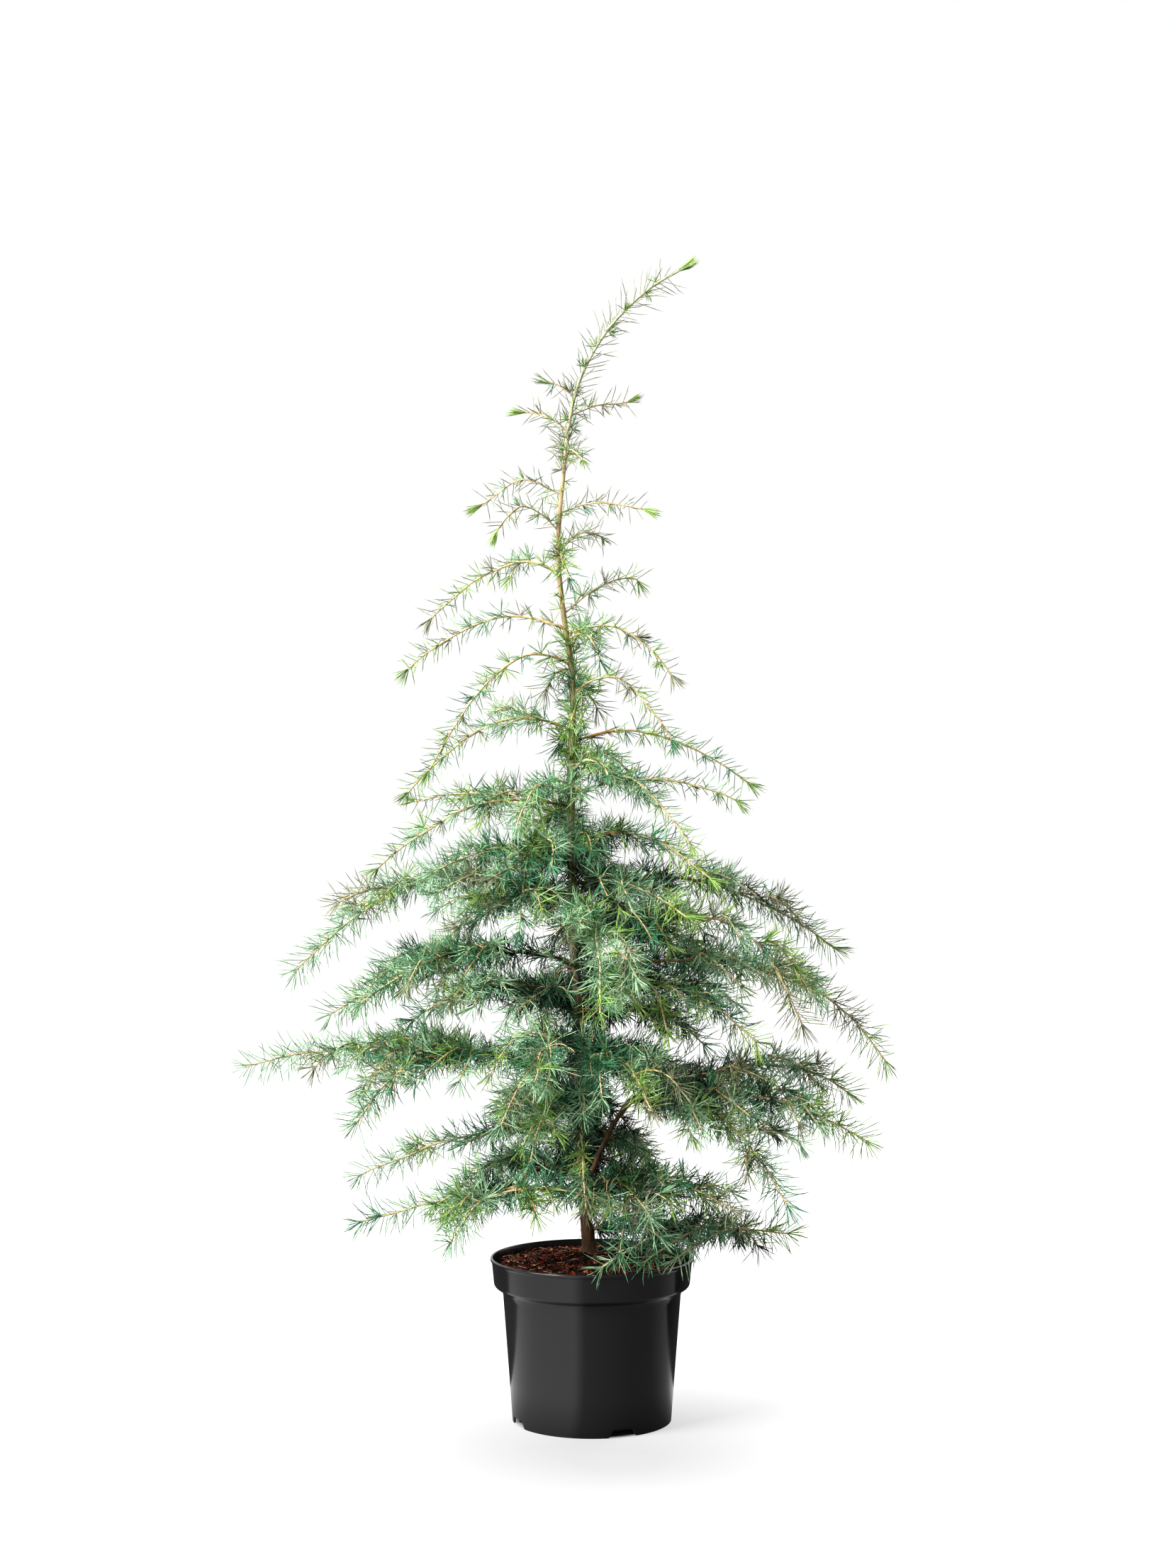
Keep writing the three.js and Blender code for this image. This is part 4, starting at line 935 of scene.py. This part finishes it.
def limb_stretches():
    """Each limb's line cut at the ages where its wood changes colour, as knobbly tubes
    that taper as the limb does, joined by kind of wood."""
    made = {kind: [] for kind in WOOD_KINDS}
    share = np.linspace(0, 1, LIMB_RINGS)
    whole = even(limbs, LIMB_RINGS)
    radii = limb_radius(limb_foot[:, None], share)
    ages = share + age_shift(limbs[:, 0, 2])[:, None]
    low = 0.0
    for kind, (_, _, high) in WOOD_KINDS.items():
        for line, radius, age, start in zip(whole, radii, ages, limb_start):
            keep = (age >= low - 0.011) & (age <= high) & (share >= start - 0.01)
            if keep.sum() > 2:
                path = even(line[keep][None], STRETCH_RINGS)
                before = np.linspace(0, 1, keep.sum())
                width = np.interp(np.linspace(0, 1, STRETCH_RINGS), before, radius[keep])
                knots = 1 + 0.12 * grain(path, 4.5, 60)
                made[kind].append(tubes(path, width * knots, LIMB_SIDES))
        low = high
    return {kind: closed(np.concatenate(rings)) for kind, rings in made.items()}


def shoot_tubes(lines, foot, tip):
    """Thin shoots that taper evenly from foot to tip, with a knobbly surface."""
    radii = foot + (tip - foot) * np.linspace(0, 1, lines.shape[1])
    return closed(tubes(lines, radii * (1 + 0.12 * grain(lines, 4, 61)), SHOOT_SIDES))


side_age = side_place + SIDE_YOUNGER + age_shift(sides[:, 0, 2])
fine_age = side_age[fine_owner] + FINE_YOUNGER
wood = limb_stretches()
foliage_nodes = [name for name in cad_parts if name.startswith("foliage_")]
low = 0.0
for kind, (dark, light, high) in WOOD_KINDS.items():
    parts = [wood[kind]]
    for lines, age, radii in ((sides, side_age, SIDE_RADII), (fines, fine_age, FINE_RADII)):
        mine = (age >= low) & (age < high)
        if mine.any():
            parts.append(shoot_tubes(lines[mine], *radii))
    low = high
    skin = mottled(f"wood_{kind}", dark, light, 150, 0.7, relief=0.35, specular=0.3)
    add_piece(f"twigs_{kind}", *joined(parts), skin, "bark", *foliage_nodes)

# ----------------------------------------------------------------- the needles
# Stiff three-sided needles about 30 mm long and 1 mm thick. On last year's wood they
# stand in star-like tufts on short spurs, on this year's singly in a spiral, and a
# brush of bright young ones ends each shoot. A bloom of wax makes most blue-green.

NEEDLE_RADIUS = 0.58
NEEDLE_FOOT = 0.8  # the foot's share of the radius
NEEDLE_SHANK = 0.7
NEEDLE_BEND = 0.035
GOLDEN_ANGLE = 2.39996
THIRD_TURN = 2.0944
NEEDLES_A_PIECE = 19000
SPUR_LENGTH = 2.6
SPUR_RADIUS = 0.85
NEEDLE_KINDS = {  # the darker and lighter colour of each kind
    "glaucous": ("316244", "acd2a2"),
    "teal": ("0c3a22", "549a69"),
    "green": ("254a12", "92b952"),
    # the near-black kind is painted shade, dealt where the crown lies in shade
    "painted_shade": ("020f06", "11341c"),
    "fresh": ("5f8338", "a3c064"),
    "thin": ("464a31", "93976f"),
}
KIND = {name: i for i, name in enumerate(NEEDLE_KINDS)}
OUTWARD = (0, 0.35, 0.6, 1)  # the shares of the way out that the rows below stand for
# Inside the crown the near-black kind weighs most: painted shade.
LOW_WEIGHTS = np.array(
    [  # how much of each kind, in the order above
        (0.05, 0.20, 0.03, 0.72, 0, 0), (0.20, 0.34, 0.08, 0.36, 0, 0.02),
        (0.34, 0.21, 0.22, 0.11, 0.03, 0.09), (0.26, 0.10, 0.32, 0.01, 0.05, 0.26),
    ]
)  # fmt: skip
HIGH_WEIGHTS = np.array([0.26, 0.10, 0.38, 0, 0.09, 0.17])
# The side towards the key light: more pale needles there are painted light, more near-black ones
# on the far side painted shade.
SUNNY_AZIMUTH = 215
HIGH_FROM = 600
HIGH_FADE = 380
CROWN_HEIGHTS = (200, 600, 1000, 1200, 1460)
CROWN_RADII = (330, 340, 190, 110, 60)
UPPER_TIPS_FROM = 1090
POT_HEIGHTS = (0, 163, 174, 208)
POT_RADII = (103, 115.5, 127, 131.5)
LIP_INSIDE = 124
NEEDLE_FACES = np.array(
    [
        (0, 2, 1), (0, 1, 4), (0, 4, 3), (1, 2, 5), (1, 5, 4),
        (2, 0, 3), (2, 3, 5), (3, 4, 6), (4, 5, 6), (5, 3, 6),
    ]
)  # fmt: skip

laid = []
knobs = []


def crossed(ways):
    """Two unit vectors across each way, and across each other."""
    pole = np.where(np.abs(ways[:, 2:]) > 0.9, [[1.0, 0, 0]], [[0, 0, 1.0]])
    first = unit(np.cross(pole, ways))
    return first, np.cross(ways, first)


def places(lines, first, last, spacing):
    """Places along lines, one every spacing with a little chance: the line's number,
    the share along it, the point, the tangent, and a spiral of arms round it."""
    span = length_of(lines) * (last - first)
    count = np.maximum(np.round(span / spacing), 0).astype(int)
    owner, k = numbered(count)
    along = (k + draw.uniform(0.15, 0.85, len(owner))) / count[owner]
    first, last = np.broadcast_to(first, len(lines)), np.broadcast_to(last, len(lines))
    share = first[owner] + (last - first)[owner] * along
    point, ahead = at(lines, owner, share)
    side, lift = crossed(ahead)
    turn = (k * GOLDEN_ANGLE + owner * 1.7 + draw.uniform(-0.4, 0.4, len(owner)))[:, None]
    return owner, share, point, ahead, spun(side, lift, turn)


def fanned(axis, least, most):
    """Unit ways at a chance angle between least and most degrees from their axes."""
    angle = np.radians(least + (most - least) * np.sqrt(draw.random(len(axis))))[:, None]
    turn = draw.uniform(0, 2 * np.pi, len(axis))[:, None]
    return spun(axis, spun(*crossed(axis), turn), angle)


def outwardness(points):
    """The share of the way from the trunk to the crown's edge at that height."""
    axis = on_trunk(np.minimum(points[..., 2], CROWN_HEIGHTS[-1]))
    apart = np.linalg.norm((points - axis)[..., :2], axis=-1)
    return apart / np.interp(points[..., 2], CROWN_HEIGHTS, CROWN_RADII)


def dealt(points):
    """A kind of needle for the spray at each point. Its weights change with the way
    out from the trunk, the near-black kind deep inside painting shade there. On
    the side towards the key light more of the pale glaucous kind paints light, and
    on the other more of the near-black kind paints shade. They pass on to
    HIGH_WEIGHTS with its height."""
    out = np.clip(outwardness(points), 0, 1)
    low = np.stack([np.interp(out, OUTWARD, kind) for kind in LOW_WEIGHTS.T], -1)
    # Painted light on the key light's side, painted shade on the far side.
    sunny = unit(points * (1, 1, 0)) @ compass(SUNNY_AZIMUTH)
    low[..., 0] *= 1 + 1.5 * np.maximum(sunny, 0)
    low[..., 3] *= 1 - 0.8 * sunny
    low /= low.sum(-1, keepdims=True)
    high = np.clip((points[..., 2:] - HIGH_FROM) / HIGH_FADE, 0, 1)
    weights = np.cumsum(low * (1 - high) + HIGH_WEIGHTS * high, -1)
    return (draw.random((*points.shape[:-1], 1)) > weights[..., :-1]).sum(-1)


def kinds_at(points, owner, share, kinds, own_mind):
    """The one kind given, or the kind of the line's stretch at that share of it, or
    for a share of the places a kind dealt anew there."""
    if np.ndim(kinds) == 0:
        return np.full(len(points), kinds)
    stretch = np.minimum((share * kinds.shape[1]).astype(int), kinds.shape[1] - 1)
    return np.where(draw.random(len(points)) < own_mind, dealt(points), kinds[owner, stretch])


def lay_tufts(lines, radius, kinds, first, last, spacing, count, length):
    """Star-like tufts: a short spur leans forward from the twig, and a count of
    needles opens round it."""
    owner, share, point, ahead, arm = places(lines, first, last, spacing)
    spur = unit(arm + 0.45 * ahead)
    knobs.append((point + arm * (radius * 0.7), spur))
    each, _ = numbered(np.maximum(draw.poisson(count, len(owner)), 3))
    way = unit(fanned(spur[each], 12, 74) + 0.22 * ahead[each])
    root = (point + arm * radius * 0.8 + spur)[each]
    size = length * draw.uniform(0.72, 1.12, len(each)) * (1 - 0.2 * share[each])
    laid.append((root, way, size, kinds_at(point, owner, share, kinds, 0.15)[each]))


def lay_singles(lines, radius, kinds, first, last, spacing, length, lean):
    """Single needles in a spiral, each leaning forward by lean degrees from square."""
    owner, share, point, ahead, arm = places(lines, first, last, spacing)
    tilt = np.radians(lean + draw.normal(0, 11, len(owner)))[:, None]
    way = unit(spun(arm, ahead, tilt))
    size = length * draw.uniform(0.78, 1.1, len(owner))
    kinds = kinds_at(point, owner, share, kinds, 0.1)
    laid.append((point + arm * radius * 0.7, way, size, kinds))


def lay_brushes(lines, kinds, count, spread, length):
    """The brush that ends each shoot: needles that fan forward from its last 4 mm."""
    each = np.repeat(np.arange(len(lines)), count)
    end, ahead = at(lines, np.arange(len(lines)), np.ones(len(lines)))
    back = draw.uniform(0, 4, len(each))[:, None]
    way = fanned(ahead[each], 4, spread)
    size = length * draw.uniform(0.75, 1.1, len(each))
    kinds = kinds_at(end[each], each, np.ones(len(each)), kinds, 0)
    laid.append((end[each] - ahead[each] * back, way, size, kinds))


upper = limbs[:, -1, 2] > UPPER_TIPS_FROM
middle = ~upper & (limbs[:, 0, 2] > FINES_BELOW)
low = ~upper & ~middle
limb_kind = dealt(limbs[:, 4::8])
side_kind = dealt(sides[:, 3::5])
fine_kind = dealt(fines[:, 4:5])

# No limb ends in the near-black needles of painted shade.
limb_ends = limb_kind[:, -2:]
limb_ends[limb_ends == KIND["painted_shade"]] = KIND["green"]

# For tufts the numbers are the wood's radius, from and to along it, the spacing, and
# the count and length of needles. Single ones end with length and lean, and brushes
# have count, spread and length. Where a limb has few side shoots, its own needles
# stand wider apart too.
airy = limb_fullness[low] ** -0.15
lay_tufts(limbs[low], 1.4, limb_kind[low], 0.03, 0.6, 10 * airy, 13, 34)
# Near-black tufts close to the trunk in each low tier: painted shade.
lay_tufts(limbs[low], 1.4, KIND["painted_shade"], 0.03, 0.38, 8 * airy**2, 12, 30)
lay_tufts(limbs[low], 1.0, limb_kind[low], 0.6, 0.93, 12 * airy, 10, 32)
lay_singles(limbs[low], 1.0, limb_kind[low], 0.4, 0.99, 1.4 * airy, 37, 27)
lay_brushes(limbs[low], limb_kind[low], 14, 48, 31)
lay_tufts(limbs[middle], 1.2, limb_kind[middle], 0.03, 0.6, 14, 9, 26)
lay_tufts(limbs[middle], 1.0, limb_kind[middle], 0.6, 0.9, 19, 6, 21)
lay_singles(limbs[middle], 1.0, limb_kind[middle], 0.35, 0.99, 2.7, 27, 30)
lay_brushes(limbs[middle], limb_kind[middle], 14, 34, 26)
lay_tufts(sides, 0.9, side_kind, 0.08, 0.6, 11, 12, 33)
lay_tufts(sides, 0.8, side_kind, 0.6, 0.92, 16, 8, 28)
lay_singles(sides, 0.7, side_kind, 0.4, 0.99, 2.1, 34, 30)
lay_brushes(sides, side_kind, 11, 44, 29)
lay_tufts(fines, 0.6, fine_kind, 0.3, 0.95, 9, 10, 29)
lay_brushes(fines, fine_kind, 6, 44, 26)

# The upper limbs are this year's: sparse thin needles, and tight bright brushes.
lay_singles(limbs[upper], 0.9, KIND["thin"], 0.04, 0.98, 3.3, 28, 28)
lay_tufts(limbs[upper], 1.0, limb_kind[upper], 0.08, 0.85, 17, 7, 20)
lay_brushes(limbs[upper], KIND["fresh"], 20, 18, 27)

# The leader: thin single needles, and a small green bud tuft every 25 mm or so.
leader_start = np.interp(LEADER_FROM, trunk[:, 2], np.linspace(0, 1, TRUNK_POINTS))
leader = even(trunk[None], LIMB_POINTS, leader_start)
lay_singles(leader, 1.8, KIND["thin"], 0.0, 0.98, 2.5, 36, 38)
lay_tufts(leader, 1.6, KIND["green"], 0.02, 0.93, 25, 12, 17)
lay_brushes(leader, KIND["fresh"], 44, 14, 28)

# Needles along the trunk itself, on the spurs between the limbs; many of them are
# dealt the near-black kind, a painted shade.
stem = even(trunk[None], LIMB_POINTS)
stem_kind = dealt(stem[:, 2::4])
lay_tufts(stem, 5.5, stem_kind, 0.08, 0.3, 10, 14, 30)
lay_tufts(stem, 4.0, stem_kind, 0.3, 0.6, 5, 11, 30)
lay_tufts(stem, 3.0, stem_kind, 0.6, 0.82, 14, 8, 22)


def needle_bodies(roots, ways, lengths, radius):
    """Points and triangles of needles: a three-sided prism that widens from NEEDLE_FOOT
    of its radius to a ring NEEDLE_SHANK of the way along, which is set aside so that
    the needle bends, and then runs to a point."""
    side, lift = crossed(ways)
    turn = draw.uniform(0, 2 * np.pi, len(roots))[:, None]
    reach = ways * lengths[:, None]
    bend = spun(side, lift, turn) * lengths[:, None] * NEEDLE_BEND
    arms = [spun(side, lift, turn + a) for a in (0, THIRD_TURN, 2 * THIRD_TURN)]
    arms = radius * np.stack(arms, 1)
    foot = roots[:, None] + NEEDLE_FOOT * arms
    shank = (roots + reach * NEEDLE_SHANK + bend)[:, None] + arms
    points = np.concatenate([foot, shank, (roots + reach)[:, None]], 1)
    return points.reshape(-1, 3), copied(NEEDLE_FACES, len(roots), 7)


def clear_of_pot(points):
    """Whether points are above the compost inside the pot's lip, or outside the pot."""
    radius = np.hypot(points[:, 0], points[:, 1])
    wall = np.interp(points[:, 2], POT_HEIGHTS, POT_RADII)
    above = points[:, 2] > np.interp(radius, COMPOST_RADII, COMPOST_HEIGHTS) + 2
    inside = (radius < LIP_INSIDE) & above
    return inside | (radius > wall) | (points[:, 2] > POT_HEIGHTS[-1] + 2)


root, way, size, kind = (np.concatenate(rows) for rows in zip(*laid))
tip = root + way * size[:, None]
low, high = (np.array(corner) * 1000 for corner in cad_box)
keep = np.all((tip > low - 2) & (tip < high + 2), 1) & clear_of_pot(tip) & clear_of_pot(root)
keep &= clear_of_pot(root + way * size[:, None] / 2) & (tip[:, 2] > 1)
keep &= ~(hides_bough(tip) | hides_bough(root) | hides_bough((root + tip) / 2))
root, way, size, kind = picked(keep, root, way, size, kind)
for name, (dark, light) in NEEDLE_KINDS.items():
    skin = mottled(f"needle_{name}", dark, light, 50, 0.5, relief=0, specular=0.28)
    mine = np.flatnonzero(kind == KIND[name])
    for part, chosen in enumerate(np.array_split(mine, len(mine) // NEEDLES_A_PIECE + 1), 1):
        made = needle_bodies(*picked(chosen, root, way, size), NEEDLE_RADIUS)
        piece = f"needles_{name}_{part}"
        add_piece(piece, *made, skin, "foliage", *foliage_nodes, smooth=False)

# Each spur is a little barrel of brown bud scales.
spur_root, spur_way = (np.concatenate(rows) for rows in zip(*knobs))
scales = mottled("bud_scales", "7c4c25", "b27c45", 300, 0.8, relief=0.2)
spurs = needle_bodies(spur_root, spur_way, np.full(len(spur_root), SPUR_LENGTH), SPUR_RADIUS)
add_piece("spurs", *spurs, scales, "bark", *foliage_nodes, smooth=False)

# ------------------------------------------------------------------ the studio
# A white floor that runs back to a white room, and three large soft lights: a key from
# the left and a little before the plant, a weaker one above, and one behind its right.
# The floor's glow to the camera paints a shadow just before the pot, and what it shows
# in the pot's gloss is a painted reflection.

FLOOR_HALF = 15
# From here back the floor is dark in the pot's gloss, a painted reflection.
FLOOR_EDGE = 0.155
# Where the floor's glow to the camera is least: a painted shadow just before the pot.
DIMMEST_FLOOR = (0.03, -0.2, 0)
ROOM_SHARE = 0.78
SOFTBOXES = {  # place, aim, width, height, power
    "key": ((-2.7, -1.7, 2.3), (0, 0, 0.75), 1.8, 1.8, 345),
    "overhead": ((0.2, -0.3, 3.2), (0, 0, 0.6), 2.2, 2.2, 55),
    "rim": ((2.6, 1.9, 2.3), (0, 0, 0.75), 1.8, 1.8, 105),
}
ROOM_GLOW = (  # heading from the camera's side in degrees, left negative, and glow
    (-180, 1.0), (-113, 1.0), (-75, 0.8), (-20, 1.0), (-9, 0.24),
    (75, 0.2), (110, 0.45), (120, 0.9), (180, 1.0),
)  # fmt: skip


def walls_group():
    """A group that gives the glow of the walls, as ROOM_GLOW has it, by the heading of
    a way from the pot."""
    group, given, result = new_group("walls", {"Way": "Vector"}, {"Glow": "Color"})
    right = put(group, "SeparateXYZ", {0: given["Way"]})
    near = worked(group, "MULTIPLY", right.node.outputs[1], -1.0)
    heading = ranged(group, worked(group, "ARCTAN2", right, near), -np.pi, np.pi)
    stops = [(degrees / 360 + 0.5, (glow, glow, glow, 1)) for degrees, glow in ROOM_GLOW]
    wire(result, {"Glow": ramp(group, heading, stops)})
    return group


walls = walls_group()


def floor_paint():
    """White paint that seems to the camera to glow more the farther it is from its
    dimmest place, a little before the pot, so that floor and backdrop run together
    without a horizon; the lesser glow there is a painted shadow, and under the pot
    there is none. In the gloss of the pot it is black and takes the glow of the
    walls, less near the pot, and is dark from FLOOR_EDGE back: a painted reflection."""
    material, tree, shader = new_material("floor_paint", 0.8, 0.0)
    place = put(tree, "TexCoord", {}, "Object")
    to_camera = put(tree, "LightPath", {}, "Is Camera Ray")
    in_gloss = to_camera.node.outputs["Is Glossy Ray"]
    white = blended(tree, noise(tree, place, 3), paint("787878"), paint("7c7c7c"))
    from_dim = put(tree, "VectorMath", {0: place, 1: DIMMEST_FLOOR}, "Value", operation="DISTANCE")
    from_pot = put(tree, "VectorMath", {0: place}, "Value", operation="LENGTH")
    # Less glow to the camera near DIMMEST_FLOOR paints a shadow; under the pot it has none.
    glow = ranged(tree, from_dim, 0.05, 0.54, 0.42, 1)
    seen = worked(tree, "MULTIPLY", glow, ranged(tree, from_pot, 0.092, 0.102))
    seen = worked(tree, "MULTIPLY", seen, to_camera)
    back = put(tree, "SeparateXYZ", {0: place}, 1)
    # What the pot's gloss sees of the floor: a painted reflection, dark from FLOOR_EDGE back and
    # dimmer near the pot.
    painted_reflection = ranged(tree, back, FLOOR_EDGE, FLOOR_EDGE + 0.008, 1, 0.04)
    painted_reflection = worked(tree, "MULTIPLY", painted_reflection, ranged(tree, from_pot, 0.1, 0.22, 0.3, 1))
    around = put(tree, "Group", {"Way": place}, "Glow", node_tree=walls)
    surface = {
        "Base Color": blended(tree, in_gloss, white, (0, 0, 0, 1)),
        "Emission Color": blended(tree, in_gloss, (1, 1, 1, 1), around),
        "Emission Strength": put(tree, "Mix", {0: in_gloss, 2: seen, 3: painted_reflection}),
    }
    wire(shader, surface)
    return material


def white_room():
    """A room whose walls glow by their heading: a wide soft window on the left, a
    dark right-hand side, and a bright backdrop. To the camera it is plain white, and
    it gives matt things ROOM_SHARE of its light."""
    room = bpy.data.worlds.new("white_room")
    room.use_nodes = True
    tree = room.node_tree
    way = put(tree, "TexCoord", {}, "Generated")
    around = put(tree, "Group", {"Way": way}, "Glow", node_tree=walls)
    to_camera = put(tree, "LightPath", {}, "Is Camera Ray")
    to_matt = to_camera.node.outputs["Is Diffuse Ray"]
    light = {
        "Color": blended(tree, to_camera, around, (1, 1, 1, 1)),
        "Strength": ranged(tree, to_matt, 0, 1, 1, ROOM_SHARE),
    }
    wire(tree.nodes["Background"], light)
    return room


floor_mesh = bpy.data.meshes.new("floor")
corners = np.array([(-1, -1, 0), (1, -1, 0), (1, 1, 0), (-1, 1, 0)]) * FLOOR_HALF
floor_mesh.from_pydata(corners.tolist(), [], [(0, 1, 2, 3)])
floor_mesh.materials.append(floor_paint())
floor = bpy.data.objects.new("floor", floor_mesh)
bpy.context.collection.objects.link(floor)

for name, (place, aim, width, height, power) in SOFTBOXES.items():
    lamp = bpy.data.lights.new(name, "AREA")
    lamp.shape = "RECTANGLE"
    lamp.size = width
    lamp.size_y = height
    lamp.energy = power
    light = bpy.data.objects.new(name, lamp)
    light.location = place
    light.rotation_euler = (Vector(aim) - Vector(place)).to_track_quat("-Z", "Y").to_euler()
    light.visible_camera = False
    bpy.context.collection.objects.link(light)

bpy.context.scene.world = white_room()
bpy.context.scene.view_settings.view_transform = "Standard"
